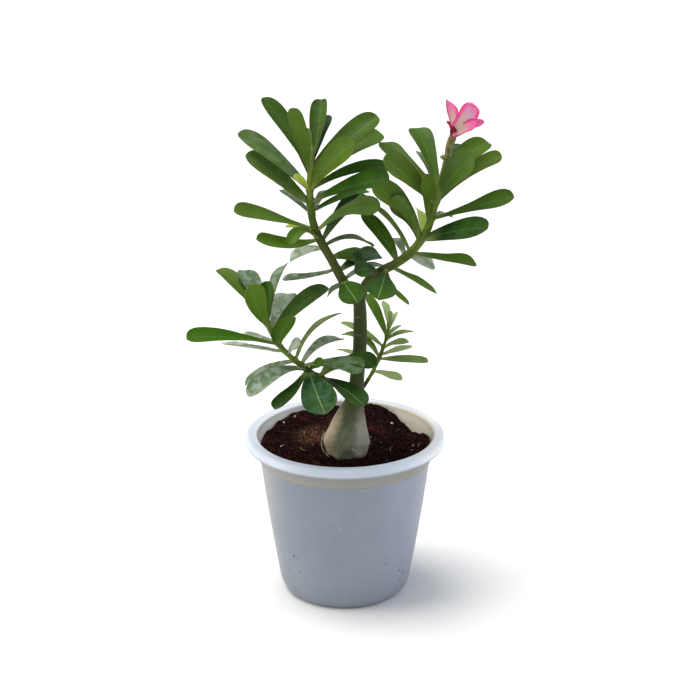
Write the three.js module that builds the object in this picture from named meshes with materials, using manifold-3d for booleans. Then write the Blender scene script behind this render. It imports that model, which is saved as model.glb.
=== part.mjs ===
// A desert rose in a nursery pot: the pot, its soil, the swollen trunk, four leafy stems and one flower.
// Millimetres. The origin is the middle of the pot's flat base, +X is to the viewer's right, +Y is away
// from the viewer and +Z is up.
import * as THREE from "three";
import { mergeVertices } from "three/addons/utils/BufferGeometryUtils.js";
import Module from "manifold-3d";

const wasm = await Module();
wasm.setup();

// The pot
const POT_HEIGHT = 167.4;
const RIM_RADIUS = 99.5;
const MOUTH_RADIUS = 88;
const LIP_FOOT = 158;
const COLLAR_RADIUS = 86.8;
const COLLAR_FOOT = 142.5;
const BODY_TOP_RADIUS = 85.2;
const BODY_FOOT_RADIUS = 66.5;
const FOOT_HEIGHT = 13;
const BASE_RADIUS = 57.5;
const BODY_SWELL = 0.9;
const WALL = 1.9;
const WELL_RADIUS = COLLAR_RADIUS - WALL;
const FLOOR = 2.4;
const POT_SIDES = 48;
const DRAIN_HOLES = 6;
const DRAIN_RADIUS = 3.5;
const DRAIN_CIRCLE = 40;

// The soil, which is higher behind the trunk and lower at the right
const SOIL_LEVEL = 155;
const SOIL_MOUNDS = [
  { at: [15, 75], rise: 5, spread: 1800 },
  { at: [88, -4], rise: 5, spread: 900 },
  { at: [-50, 65], rise: 2, spread: 900 },
  { at: [-3, -35], rise: 3.5, spread: 700 },
  { at: [64, 47], rise: -11, spread: 700 },
  { at: [36, 74], rise: 4, spread: 350 },
];
const SOIL_SIDES = 36;
const SOIL_RINGS = 8;
const CLEARANCE = 0.3;

// The leaves
const BLADE_THICKNESS = 0.9;
const STALK = 3;
const NARROW_STALK = 1.3;
const TIP_SHARE = 0.14;
const BLADE_STEPS = 6;
const NARROW_BLADE_STEPS = 4;
const PETAL_STEPS = 6;

// The photograph was taken from here, looking slightly down. Places on the plant are given as the column
// and row where they are seen in it, 700 wide and 700 high, and are put at their real size by these.
const EYE = new THREE.Vector3(5, -1600, 821);
const LOOKING_DOWN = THREE.MathUtils.degToRad(19.5);
const FOCAL_LENGTH = 1718;
const PICTURE_MIDDLE = 350;

function sightLine([column, row]) {
  const across = (column - PICTURE_MIDDLE) / FOCAL_LENGTH;
  const upward = (PICTURE_MIDDLE - row) / FOCAL_LENGTH;
  const sine = Math.sin(LOOKING_DOWN);
  const cosine = Math.cos(LOOKING_DOWN);
  return new THREE.Vector3(across, cosine + upward * sine, upward * cosine - sine);
}

// The point on the sight line that lies y mm behind the pot's axis
function placeAtDepth(seen, y) {
  const direction = sightLine(seen);
  return EYE.clone().addScaledVector(direction, (y - EYE.y) / direction.y);
}

// The point on the sight line that lies length mm from start, on its near or its far side
function placeAtLength(seen, start, length, near) {
  const direction = sightLine(seen).normalize();
  const toStart = start.clone().sub(EYE);
  const along = toStart.dot(direction);
  const aside = toStart.lengthSq() - along * along;
  const rest = Math.sqrt(Math.max(0, length * length - aside));
  return EYE.clone().addScaledVector(direction, near ? along - rest : along + rest);
}

function seenAt(point) {
  const offset = point.clone().sub(EYE);
  const forward = offset.y * Math.cos(LOOKING_DOWN) - offset.z * Math.sin(LOOKING_DOWN);
  const upward = offset.y * Math.sin(LOOKING_DOWN) + offset.z * Math.cos(LOOKING_DOWN);
  const column = PICTURE_MIDDLE + FOCAL_LENGTH * offset.x / forward;
  const row = PICTURE_MIDDLE - FOCAL_LENGTH * upward / forward;
  return [column, row];
}

// A closed geometry as a solid, with its faces turned outwards
function solid(geometry) {
  const bare = geometry.clone();
  bare.deleteAttribute("normal");
  bare.deleteAttribute("uv");
  const merged = mergeVertices(bare, 1e-4);
  const vertProperties = new Float32Array(merged.attributes.position.array);
  const triVerts = new Uint32Array(merged.index.array);
  if (signedVolume(vertProperties, triVerts) < 0) {
    for (let i = 0; i < triVerts.length; i += 3) {
      [triVerts[i], triVerts[i + 1]] = [triVerts[i + 1], triVerts[i]];
    }
  }
  return new wasm.Manifold(new wasm.Mesh({ numProp: 3, vertProperties, triVerts }));
}

function signedVolume(positions, triangles) {
  const corner = (i) => new THREE.Vector3().fromArray(positions, 3 * triangles[i]);
  let volume = 0;
  for (let i = 0; i < triangles.length; i += 3) {
    volume += corner(i).dot(corner(i + 1).cross(corner(i + 2)));
  }
  return volume;
}

function join(solids) {
  return solids.reduce((whole, piece) => whole.add(piece));
}

// The largest body of a solid, without loose scraps
function largestBody(whole) {
  const bodies = whole.decompose();
  return bodies.reduce((largest, body) => (body.volume() > largest.volume() ? body : largest));
}

function mesh(name, whole, look) {
  const { vertProperties, triVerts } = largestBody(whole).getMesh();
  const geometry = new THREE.BufferGeometry();
  geometry.setAttribute("position", new THREE.BufferAttribute(new Float32Array(vertProperties), 3));
  geometry.setIndex(new THREE.BufferAttribute(new Uint32Array(triVerts), 1));
  geometry.computeVertexNormals();
  const result = new THREE.Mesh(geometry, new THREE.MeshStandardMaterial(look));
  result.name = name;
  return result;
}

// A profile of [radius, height] points turned about the Z axis
function turned(profile, sides) {
  const points = profile.map(([radius, height]) => new THREE.Vector2(radius, height));
  return new THREE.LatheGeometry(points, sides).rotateX(Math.PI / 2);
}

// Points on a quarter arc or less, angles in degrees from the +radius direction
function arc([radius, height], size, from, to, steps) {
  const points = [];
  for (let i = 0; i <= steps; i += 1) {
    const angle = THREE.MathUtils.degToRad(from + (to - from) * i / steps);
    points.push([radius + size * Math.cos(angle), height + size * Math.sin(angle)]);
  }
  return points;
}

function innerBodyRadius(height) {
  const share = (height - FOOT_HEIGHT) / (COLLAR_FOOT - FOOT_HEIGHT);
  return BODY_FOOT_RADIUS + (BODY_TOP_RADIUS - BODY_FOOT_RADIUS) * share - WALL;
}

// Points on the body's outside between its foot and its top, which swells a little
function swollenWall(bottom, top, steps) {
  const points = [];
  for (let i = 1; i < steps; i += 1) {
    const share = i / steps;
    const radius = THREE.MathUtils.lerp(bottom[0], top[0], share) + BODY_SWELL * Math.sin(Math.PI * share);
    points.push([radius, THREE.MathUtils.lerp(bottom[1], top[1], share)]);
  }
  return points;
}

function makePot() {
  const bodyFoot = [BODY_FOOT_RADIUS, FOOT_HEIGHT];
  const bodyTop = [BODY_TOP_RADIUS, COLLAR_FOOT - 2];
  const profile = [
    [0, 0],
    [BASE_RADIUS, 0],
    [BASE_RADIUS + 3, 1.2],
    [BASE_RADIUS + 7.2, 8],
    bodyFoot,
    ...swollenWall(bodyFoot, bodyTop, 4),
    bodyTop,
    [COLLAR_RADIUS - 0.8, COLLAR_FOOT - 0.4],
    [COLLAR_RADIUS, COLLAR_FOOT + 0.5],
    [COLLAR_RADIUS + 0.3, LIP_FOOT - 0.7],
    [RIM_RADIUS - 1.4, LIP_FOOT],
    [RIM_RADIUS, LIP_FOOT + 1.3],
    ...arc([RIM_RADIUS - 4, POT_HEIGHT - 4], 4, 0, 90, 3),
    ...arc([MOUTH_RADIUS + 3, POT_HEIGHT - 3], 3, 90, 180, 2),
    [WELL_RADIUS + 1.6, LIP_FOOT + 1.5],
    [WELL_RADIUS + 0.3, LIP_FOOT - 2.5],
    [WELL_RADIUS, COLLAR_FOOT + 2],
    [innerBodyRadius(COLLAR_FOOT - 3), COLLAR_FOOT - 3],
    [innerBodyRadius(FOOT_HEIGHT - 3), FOOT_HEIGHT - 3],
    [BASE_RADIUS, FLOOR],
    [0, FLOOR],
  ];
  let pot = solid(turned(profile, POT_SIDES));
  for (let i = 0; i < DRAIN_HOLES; i += 1) {
    const angle = 2 * Math.PI * i / DRAIN_HOLES;
    const hole = new THREE.CylinderGeometry(DRAIN_RADIUS, DRAIN_RADIUS, 4 * FLOOR, 12).rotateX(Math.PI / 2);
    hole.translate(DRAIN_CIRCLE * Math.cos(angle), DRAIN_CIRCLE * Math.sin(angle), 0);
    pot = pot.subtract(solid(hole));
  }
  return mesh("pot", pot, { color: 0xbfc6cc, roughness: 0.42, metalness: 0 });
}

// The height of the soil's uneven top, which rises and sinks by rise mm round each of its mounds
function soilHeight(x, y) {
  let top = SOIL_LEVEL + 0.06 * y + 0.01 * x;
  for (const { at, rise, spread } of SOIL_MOUNDS) {
    top += rise * Math.exp(-((x - at[0]) ** 2 + (y - at[1]) ** 2) / spread);
  }
  const lumps = 1.1 * Math.sin(x / 6.1 + 1.3 * Math.sin(y / 8.3)) * Math.cos(y / 7.4 + 0.7);
  const crumbs = 0.7 * Math.sin(x / 2.9 + y / 3.7) * Math.cos(x / 4.3 - y / 3.1);
  return Math.min(top + lumps + crumbs, POT_HEIGHT - 2);
}

function makeSoil(trunkHole) {
  const edge = WELL_RADIUS - CLEARANCE;
  const profile = [
    [0, FLOOR + CLEARANCE],
    [BASE_RADIUS - CLEARANCE, FLOOR + CLEARANCE],
    [innerBodyRadius(FOOT_HEIGHT - 3) - CLEARANCE, FOOT_HEIGHT - 3 + CLEARANCE],
    [innerBodyRadius(COLLAR_FOOT - 3) - CLEARANCE, COLLAR_FOOT - 3],
    [edge, COLLAR_FOOT + 2 + CLEARANCE],
  ];
  for (let i = 0; i <= SOIL_RINGS; i += 1) {
    profile.push([edge * (1 - i / SOIL_RINGS), SOIL_LEVEL]);
  }
  const geometry = turned(profile, SOIL_SIDES);
  const place = geometry.attributes.position;
  for (let i = 0; i < place.count; i += 1) {
    if (place.getZ(i) > SOIL_LEVEL - 1) {
      place.setZ(i, Math.max(soilHeight(place.getX(i), place.getY(i)), COLLAR_FOOT + 3));
    }
  }
  return mesh("soil", solid(geometry).subtract(trunkHole), { color: 0x33211b, roughness: 1, metalness: 0 });
}

// A tapered, rounded limb along a curve between two shares of its length. radiusAt(share) gives its radius
// and relief(angle, share) makes it swell and sink round the limb.
function limb(curve, radiusAt, from, to, steps, sides, relief = () => 1) {
  const geometry = new THREE.CylinderGeometry(1, 1, 1, sides, steps);
  const place = geometry.attributes.position;
  const away = new THREE.Vector3(0, 1, 0);
  for (let i = 0; i < place.count; i += 1) {
    const share = from + (to - from) * (place.getY(i) + 0.5);
    const across = Math.hypot(place.getX(i), place.getZ(i));
    const angle = Math.atan2(place.getX(i), place.getZ(i));
    const direction = curve.getTangentAt(share);
    const side = away.clone().cross(direction).normalize();
    const front = side.clone().cross(direction);
    const radius = across * radiusAt(share) * relief(angle, share);
    const point = curve.getPointAt(share);
    point.addScaledVector(side, radius * Math.sin(angle)).addScaledVector(front, radius * Math.cos(angle));
    place.setXYZ(i, point.x, point.y, point.z);
  }
  return solid(geometry);
}

// The value at a share of the way along a list of evenly spaced values
function along(values, share) {
  const position = share * (values.length - 1);
  const index = Math.min(Math.floor(position), values.length - 2);
  return THREE.MathUtils.lerp(values[index], values[index + 1], position - index);
}

// The trunk from its tip under the soil to the fork: where its middle is seen, how far behind the pot's
// axis it stands and how wide it is
const TRUNK_DEPTH = -25;
const TRUNK_TOP_DEPTH = -20;
const TRUNK_UNDER_SOIL = [
  { up: 122, width: 6 },
  { up: 134, width: 15 },
  { up: 145, width: 27 },
  { up: 155, width: 37 },
];
const TRUNK_SEEN = [
  { at: [347, 446], width: 42 },
  { at: [347, 439], width: 44.5 },
  { at: [348.2, 431], width: 40.5 },
  { at: [349.7, 421], width: 33 },
  { at: [351.6, 412], width: 26.5 },
  { at: [353.8, 404], width: 20.5 },
  { at: [355.4, 395], width: 16.8 },
  { at: [356.4, 385], width: 14.8 },
  { at: [357.6, 372], width: 14 },
  { at: [359.6, 350], width: 13.6 },
  { at: [360.2, 328], width: 13.5 },
  { at: [360, 311], width: 12.8 },
  { at: [359.2, 299], width: 12 },
];

function trunkSections() {
  const top = TRUNK_SEEN.length - 1;
  const seen = TRUNK_SEEN.map(({ at, width }, i) => {
    const depth = THREE.MathUtils.lerp(TRUNK_DEPTH, TRUNK_TOP_DEPTH, i / top);
    return { point: placeAtDepth(at, depth), radius: width / 2 };
  });
  const foot = seen[0].point;
  const hidden = TRUNK_UNDER_SOIL.map(({ up, width }) => {
    return { point: new THREE.Vector3(foot.x, foot.y, up), radius: width / 2 };
  });
  return [...hidden, ...seen];
}

// Blunt root shoulders round the swollen foot, fading towards the neck
function rootShoulders(angle, height) {
  const depth = 0.075 * THREE.MathUtils.smoothstep(190 - height, 0, 40);
  return 1 + depth * Math.cos(5 * angle + 0.6) + 0.4 * depth * Math.cos(3 * angle + 2);
}

function makeTrunkBody(grow) {
  const sections = trunkSections();
  const curve = new THREE.CatmullRomCurve3(sections.map(({ point }) => point));
  const lengths = curve.getLengths(20 * (sections.length - 1));
  const reach = sections.map((section, i) => lengths[20 * i] / curve.getLength());
  const radiusAt = (share) => {
    let i = 1;
    while (i < reach.length - 1 && share > reach[i]) {
      i += 1;
    }
    const between = (share - reach[i - 1]) / (reach[i] - reach[i - 1]);
    return THREE.MathUtils.lerp(sections[i - 1].radius, sections[i].radius, between) + grow;
  };
  const relief = (angle, share) => rootShoulders(angle, curve.getPointAt(share).z);
  return limb(curve, radiusAt, 0, 1, 26, 14, relief);
}

// The four stems: where each one's middle is seen and how far behind the pot's axis it lies, its
// radii from foot to tip, and how much of its foot is one piece with the trunk
const STEMS = {
  upperLeft: {
    points: [
      { at: [358, 299], depth: -20 },
      { at: [345, 284], depth: -17 },
      { at: [335, 266], depth: -14 },
      { at: [327, 252], depth: -11 },
      { at: [319, 238], depth: -8 },
      { at: [313, 222], depth: -5 },
      { at: [310.5, 205], depth: -3 },
      { at: [310, 185], depth: -1 },
      { at: [311, 165], depth: 0 },
      { at: [311.5, 150], depth: 1 },
    ],
    radii: [5.2, 4.7, 4.3, 4.1, 3.9, 3.7, 3.5, 3.2, 2.7, 1.9],
    foot: 12,
  },
  upperRight: {
    points: [
      { at: [360, 299], depth: -20 },
      { at: [368, 281], depth: -21 },
      { at: [381, 271], depth: -23 },
      { at: [395, 264], depth: -25 },
      { at: [408, 255], depth: -27 },
      { at: [419, 243], depth: -29 },
      { at: [428, 228], depth: -31 },
      { at: [433, 212], depth: -32 },
      { at: [438, 197], depth: -33 },
      { at: [441, 182], depth: -34 },
      { at: [445, 162], depth: -34 },
    ],
    radii: [4.9, 4.4, 4.2, 4.2, 4.2, 4, 3.6, 3.3, 2.9, 2.5, 2],
    foot: 12,
  },
  lowerLeft: {
    points: [
      { at: [355, 394], depth: -25 },
      { at: [342, 387.5], depth: -29 },
      { at: [327, 381], depth: -33 },
      { at: [312, 373], depth: -37 },
      { at: [297, 362], depth: -41 },
      { at: [284, 350.5], depth: -44 },
      { at: [275, 339], depth: -47 },
      { at: [269, 328], depth: -49 },
      { at: [266.5, 320], depth: -50 },
    ],
    radii: [3.6, 3.3, 3, 2.8, 2.7, 2.6, 2.5, 2.2, 1.8],
    foot: 14,
  },
  rear: {
    points: [
      { at: [357, 396], depth: -22 },
      { at: [366, 383], depth: -10 },
      { at: [373, 371], depth: -2 },
      { at: [379, 358], depth: 4 },
      { at: [384, 345], depth: 8 },
      { at: [388, 332], depth: 11 },
      { at: [389, 322], depth: 13 },
    ],
    radii: [2.2, 2, 1.8, 1.7, 1.5, 1.3, 1.1],
    foot: 16,
  },
};

function stemCurve({ points }) {
  return new THREE.CatmullRomCurve3(points.map(({ at, depth }) => placeAtDepth(at, depth)));
}

function stemFoot(stem) {
  const curve = stemCurve(stem);
  return limb(curve, (share) => along(stem.radii, share), 0, stem.foot / curve.getLength(), 2, 8);
}

function stemRest(stem) {
  const curve = stemCurve(stem);
  const start = (stem.foot + CLEARANCE) / curve.getLength();
  return limb(curve, (share) => along(stem.radii, share), start, 1, 12, 8);
}

// The leaf outline, 1 at its widest: a slow swell from the stalk and a round or a pointed end
function outline(share, { swell, blunt }) {
  const shape = (s) => s ** swell * Math.sqrt(Math.max(0, 1 - s ** blunt));
  const widest = (swell / (swell + blunt / 2)) ** (1 / blunt);
  return shape(share) / shape(widest);
}

const ROUND_LEAF = { swell: 1.05, blunt: 6 };
const OVAL_LEAF = { swell: 1.25, blunt: 3 };
const BROAD_LEAF = { swell: 0.75, blunt: 5 };
const POINTED_LEAF = { swell: 0.9, blunt: 2.2 };
const SPOON_LEAF = { swell: 1.6, blunt: 5 };
const FLAT_LEAF = { swell: 0.9, blunt: 12 };
const PETAL = { swell: 0.75, blunt: 5 };
const WIDE_PETAL = { swell: 0.5, blunt: 3 };
const LANCE_PETAL = { swell: 0.7, blunt: 1.6 };

// A blade on a spine curve. Its upper face is turned towards face, its halves fold up by fold degrees,
// it twists by twist degrees from stalk to tip, its edges wave by wave mm, and end is the share of its
// width that its tip keeps.
function blade(spine, face, { width, shape, fold, twist, wave, end, steps, stalk }) {
  const sheet = new THREE.PlaneGeometry(1, 1, 2, steps);
  const flat = sheet.attributes.position;
  const upper = [];
  const lower = [];
  for (let i = 0; i < flat.count; i += 1) {
    const side = 2 * flat.getX(i);
    const share = Math.sin((flat.getY(i) + 0.5) * Math.PI / 2);
    const direction = spine.getTangent(share);
    const normal = face.clone().addScaledVector(direction, -face.dot(direction)).normalize();
    normal.applyAxisAngle(direction, THREE.MathUtils.degToRad(twist * share));
    const across = direction.clone().cross(normal);
    const narrow = Math.max(stalk / 2 * (1 - share), end * width / 2 * share);
    const half = narrow + width / 2 * (1 - end * share) * outline(share, shape);
    const lift = THREE.MathUtils.degToRad(fold) * Math.abs(side);
    const ripple = wave * Math.sin(3.2 * Math.PI * share + side) * Math.abs(side) * share;
    const point = spine.getPoint(share);
    point.addScaledVector(across, side * half * Math.cos(lift));
    point.addScaledVector(normal, Math.abs(side) * half * Math.sin(lift) + ripple);
    const thick = THREE.MathUtils.lerp(stalk, BLADE_THICKNESS, Math.min(1, 3 * share)) / 2;
    upper.push(point.clone().addScaledVector(normal, thick));
    lower.push(point.clone().addScaledVector(normal, -thick));
  }
  return solid(thickened(upper, lower, sheet.index.array, 3, steps + 1));
}

// A closed body between two like sheets, which are split into triangles in the same way
function thickened(upper, lower, faces, columns, rows) {
  const count = upper.length;
  const index = [...faces];
  for (let i = 0; i < faces.length; i += 3) {
    index.push(faces[i] + count, faces[i + 2] + count, faces[i + 1] + count);
  }
  const edge = [];
  for (let row = 0; row < rows; row += 1) {
    edge.push(row * columns);
  }
  for (let column = 1; column < columns; column += 1) {
    edge.push((rows - 1) * columns + column);
  }
  for (let row = rows - 2; row >= 0; row -= 1) {
    edge.push(row * columns + columns - 1);
  }
  for (let column = columns - 2; column > 0; column -= 1) {
    edge.push(column);
  }
  edge.forEach((a, i) => {
    const b = edge[(i + 1) % edge.length];
    index.push(a + count, b + count, b, a + count, b, a);
  });
  const geometry = new THREE.BufferGeometry().setFromPoints([...upper, ...lower]);
  geometry.setIndex(index);
  return geometry;
}

// The point of a curve that is seen nearest to a place in the picture
function nearestOn(curve, [column, row]) {
  let best = null;
  for (const point of curve.getSpacedPoints(120)) {
    const [x, y] = seenAt(point);
    const distance = Math.hypot(x - column, y - row);
    if (best === null || distance < best.distance) {
      best = { point, distance };
    }
  }
  return best.point;
}

// A leaf from the stem at the place root, to a tip seen at tip and length mm away. near says that the tip
// comes towards the viewer. roll turns the upper face from the viewer (0) up towards the stem's tip (90)
// and on to its back (180). through is where the leaf's middle is seen, if it arches.
function leafBlade(curve, leaf) {
  const { root, tip, length, near = false, roll = 45, through = null, arch = 0.06 } = leaf;
  const start = nearestOn(curve, root);
  const finish = placeAtLength(tip, start, length, near);
  const middle = start.clone().add(finish).multiplyScalar(0.5);
  const chord = finish.clone().sub(start).normalize();
  const up = new THREE.Vector3(0, 0, 1);
  up.addScaledVector(chord, -up.dot(chord)).normalize();
  if (through) {
    middle.copy(placeAtDepth(through, middle.y));
  } else {
    middle.addScaledVector(up, arch * length);
  }
  const control = middle.clone().multiplyScalar(2).addScaledVector(start, -0.5).addScaledVector(finish, -0.5);
  const spine = new THREE.QuadraticBezierCurve3(start, control, finish);
  const toEye = EYE.clone().sub(middle);
  toEye.addScaledVector(chord, -toEye.dot(chord)).normalize();
  const turn = (chord.x < 0 ? 1 : -1) * THREE.MathUtils.degToRad(roll);
  const face = toEye.applyAxisAngle(chord, turn);
  const { width, shape = ROUND_LEAF, fold = 20, twist = 0, wave = 0, end = TIP_SHARE } = leaf;
  const { steps = BLADE_STEPS, stalk = STALK } = leaf;
  return blade(spine, face, { width, shape, fold, twist, wave, end, steps, stalk });
}

const UPPER_LEFT_LEAVES = [
  {
    name: "back left", root: [309, 170], tip: [263.3, 97.5], length: 86, width: 21, roll: 38,
    arch: 0.03, shape: BROAD_LEAF, end: 0.4,
  },
  {
    name: "left of the tip", root: [310, 174], tip: [290.3, 108.5], length: 68, width: 21, near: true,
    roll: 40, arch: 0, shape: BROAD_LEAF, end: 0.3,
  },
  {
    name: "upright folded", root: [314, 161], tip: [321.3, 99.5], length: 66, width: 23, roll: 20,
    fold: 42, through: [318.6, 128], shape: BROAD_LEAF, end: 0.35,
  },
  { name: "young", root: [311, 152], tip: [307.5, 128], length: 25, width: 5, roll: 20 },
  {
    name: "upper right", root: [312, 170], tip: [378, 116.5], length: 83, width: 28, roll: 38,
    arch: 0.01, shape: BROAD_LEAF,
  },
  {
    name: "behind upper right", root: [311, 180], tip: [382, 134], length: 92, width: 26, roll: 34,
    shape: BROAD_LEAF, end: 0.3,
  },
  {
    name: "front right", root: [311, 190], tip: [355.8, 143.2], length: 72, width: 28, near: true,
    roll: 40, shape: BROAD_LEAF, end: 0.45,
  },
  {
    name: "dull upper left", root: [310, 190], tip: [238.5, 132.5], length: 88, width: 22, roll: 42,
    arch: -0.015, through: [273, 157.5], shape: BROAD_LEAF, end: 0.3,
  },
  {
    name: "front left", root: [310, 205], tip: [246.3, 153.8], length: 78, width: 24, near: true,
    roll: 42, arch: 0.01, shape: BROAD_LEAF, end: 0.3,
  },
  { name: "grey behind left", root: [310, 214], tip: [281, 190], length: 54, width: 12, roll: 60, arch: 0 },
  {
    name: "left", root: [315, 229], tip: [234, 210], length: 84, width: 22, near: true, roll: 48,
    through: [273, 218.3], shape: SPOON_LEAF, end: 0.3,
  },
  {
    name: "olive twisted left", root: [317, 240], tip: [256.5, 239], length: 70, width: 22, near: true,
    roll: 50, through: [288, 245], shape: OVAL_LEAF,
  },
  {
    name: "dark right", root: [311, 203], tip: [389.2, 179.2], length: 86, width: 26, near: true,
    roll: 46, through: [349.5, 186.8],
  },
  {
    name: "olive behind right", root: [310, 190], tip: [391, 168.5], length: 90, width: 19, roll: 44,
    through: [352, 170.5],
  },
  {
    name: "arching right", root: [318, 231], tip: [379, 209.5], length: 76, width: 22, near: true,
    roll: 42, through: [350, 210], shape: ROUND_LEAF,
  },
  { name: "bluish behind right", root: [322, 243], tip: [363, 194], length: 70, width: 22, roll: 42 },
  {
    name: "mottled left", root: [336, 269], tip: [283, 278], length: 60, width: 14, roll: 64,
    through: [308, 277],
  },
  { name: "silver left", root: [325, 249], tip: [290, 259], length: 48, width: 15, roll: 40 },
  {
    name: "dark ribbed over the fork", root: [343, 281], tip: [358, 303], length: 56, width: 28,
    near: true, roll: 10, through: [349, 290],
  },
  {
    name: "olive in the fork", root: [331, 258], tip: [366, 263], length: 54, width: 22, roll: 32,
    through: [350, 256],
  },
  { name: "bluish in the fork", root: [338, 272], tip: [379, 254], length: 68, width: 21, roll: 30 },
  {
    name: "grey thin in the fork", root: [323, 246], tip: [373, 246], length: 60, width: 15, roll: 70,
    through: [349, 238],
  },
  { name: "silver in the fork", root: [342, 280], tip: [384, 265], length: 60, width: 14, roll: 60 },
  { name: "grey small", root: [346, 285], tip: [328, 295], length: 34, width: 12, roll: 60 },
  { name: "lime behind left", root: [315, 236], tip: [286, 226], length: 42, width: 11, roll: 56 },
  {
    name: "lime young left", root: [310, 192], tip: [294, 176], length: 28, width: 9, near: true,
    roll: 40,
  },
  {
    name: "dull beside the tip", root: [308, 178], tip: [298, 139], length: 46, width: 18, roll: 36,
    arch: 0,
  },
  {
    name: "olive fold over the left", root: [317, 242], tip: [289, 244], length: 44, width: 13,
    near: true, roll: 52, through: [303, 231],
  },
  {
    name: "olive between right", root: [312, 212], tip: [368, 191], length: 82, width: 14, roll: 50,
    through: [343, 197],
  },
  { name: "mottled young right", root: [313, 216], tip: [326, 190], length: 38, width: 10, roll: 40 },
  {
    name: "misty behind upright", root: [314, 166], tip: [329.3, 115], length: 58, width: 12, roll: 30,
    arch: 0.02,
  },
];

const UPPER_RIGHT_LEAVES = [
  {
    name: "behind upper left", root: [439, 190], tip: [384, 142.5], length: 84, width: 23, roll: 48,
    through: [404, 164], shape: BROAD_LEAF, end: 0.35,
  },
  {
    name: "upper left", root: [436, 205], tip: [383.5, 160], length: 76, width: 28, near: true,
    roll: 42, arch: 0.02, through: [407, 176.5], shape: BROAD_LEAF, end: 0.3,
  },
  {
    name: "drooping left", root: [419, 240], tip: [372, 188], length: 80, width: 26, near: true,
    roll: 40, through: [400, 205], shape: BROAD_LEAF,
  },
  {
    name: "upright left", root: [440, 190], tip: [415.5, 128.3], length: 70, width: 24, roll: 30,
    through: [427, 151], shape: ROUND_LEAF, end: 0.3,
  },
  { name: "grey behind", root: [438, 195], tip: [419, 152], length: 66, width: 16, roll: 50 },
  {
    name: "upright right", root: [440, 203], tip: [474, 156.5], length: 66, width: 30, near: true,
    roll: 30, shape: FLAT_LEAF, end: 0.45,
  },
  {
    name: "behind upper right", root: [441, 185], tip: [487.5, 142], length: 70, width: 26, roll: 32,
    shape: BROAD_LEAF, end: 0.3,
  },
  { name: "bluish dark behind", root: [442, 180], tip: [461, 144.3], length: 52, width: 15, roll: 40 },
  {
    name: "upper right", root: [437, 203], tip: [502, 157], length: 76, width: 19, near: true,
    roll: 44, arch: 0.02, through: [472, 171.5], shape: FLAT_LEAF, end: 0.6,
  },
  {
    name: "deep far right", root: [432, 219], tip: [514, 197], length: 84, width: 23, near: true,
    roll: 46, arch: 0.02, through: [472, 208.2], shape: SPOON_LEAF,
  },
  {
    name: "dark lower right", root: [424, 241], tip: [486.5, 229.2], length: 78, width: 25, near: true,
    roll: 42, arch: 0.04, fold: 10, through: [463, 230], shape: LANCE_PETAL, end: 0.03,
  },
  { name: "grey behind right", root: [430, 222], tip: [450, 216], length: 56, width: 12, roll: 50 },
  {
    name: "olive wavy lower right", root: [413, 254], tip: [476, 263], length: 72, width: 19, roll: 56,
    arch: 0, wave: 0.8, through: [446, 259.3], shape: ROUND_LEAF, end: 0.15,
  },
  {
    name: "olive edge on", root: [391, 267], tip: [436.3, 293], length: 62, width: 17, roll: 70,
    arch: 0, through: [411, 278.5], end: 0.3,
  },
  {
    name: "olive edge on below", root: [384, 268], tip: [408, 304], length: 50, width: 15, near: true,
    roll: 70, through: [391, 288],
  },
  {
    name: "dark ribbed front", root: [387, 268], tip: [378, 299], length: 66, width: 32, near: true,
    roll: 4, through: [382.7, 283], shape: SPOON_LEAF,
  },
  { name: "dark front", root: [378, 271], tip: [355, 272], length: 52, width: 18, near: true, roll: 30 },
  {
    name: "silver small", root: [409, 254.5], tip: [433.5, 262.5], length: 40, width: 17, roll: 36,
    arch: 0, through: [421, 261.5],
  },
  {
    name: "deep left", root: [396, 260], tip: [362, 213.5], length: 62, width: 18, roll: 36,
    through: [382.6, 237.5], shape: POINTED_LEAF, end: 0.04,
  },
  {
    name: "narrow arch", root: [408, 250], tip: [365, 203], length: 72, width: 18, roll: 78,
    through: [390, 221.5],
  },
  { name: "lime behind", root: [421, 236], tip: [421, 211], length: 44, width: 17, roll: 40 },
  {
    name: "in front of the stem", root: [431, 225], tip: [424.7, 175], length: 58, width: 19,
    near: true, roll: 40, shape: BROAD_LEAF,
  },
  { name: "silver in the arch", root: [405, 256], tip: [394, 238], length: 40, width: 12, roll: 30 },
  {
    name: "drooping front", root: [418, 242], tip: [389, 202], length: 60, width: 21, near: true,
    roll: 40, through: [407, 217],
  },
];

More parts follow.
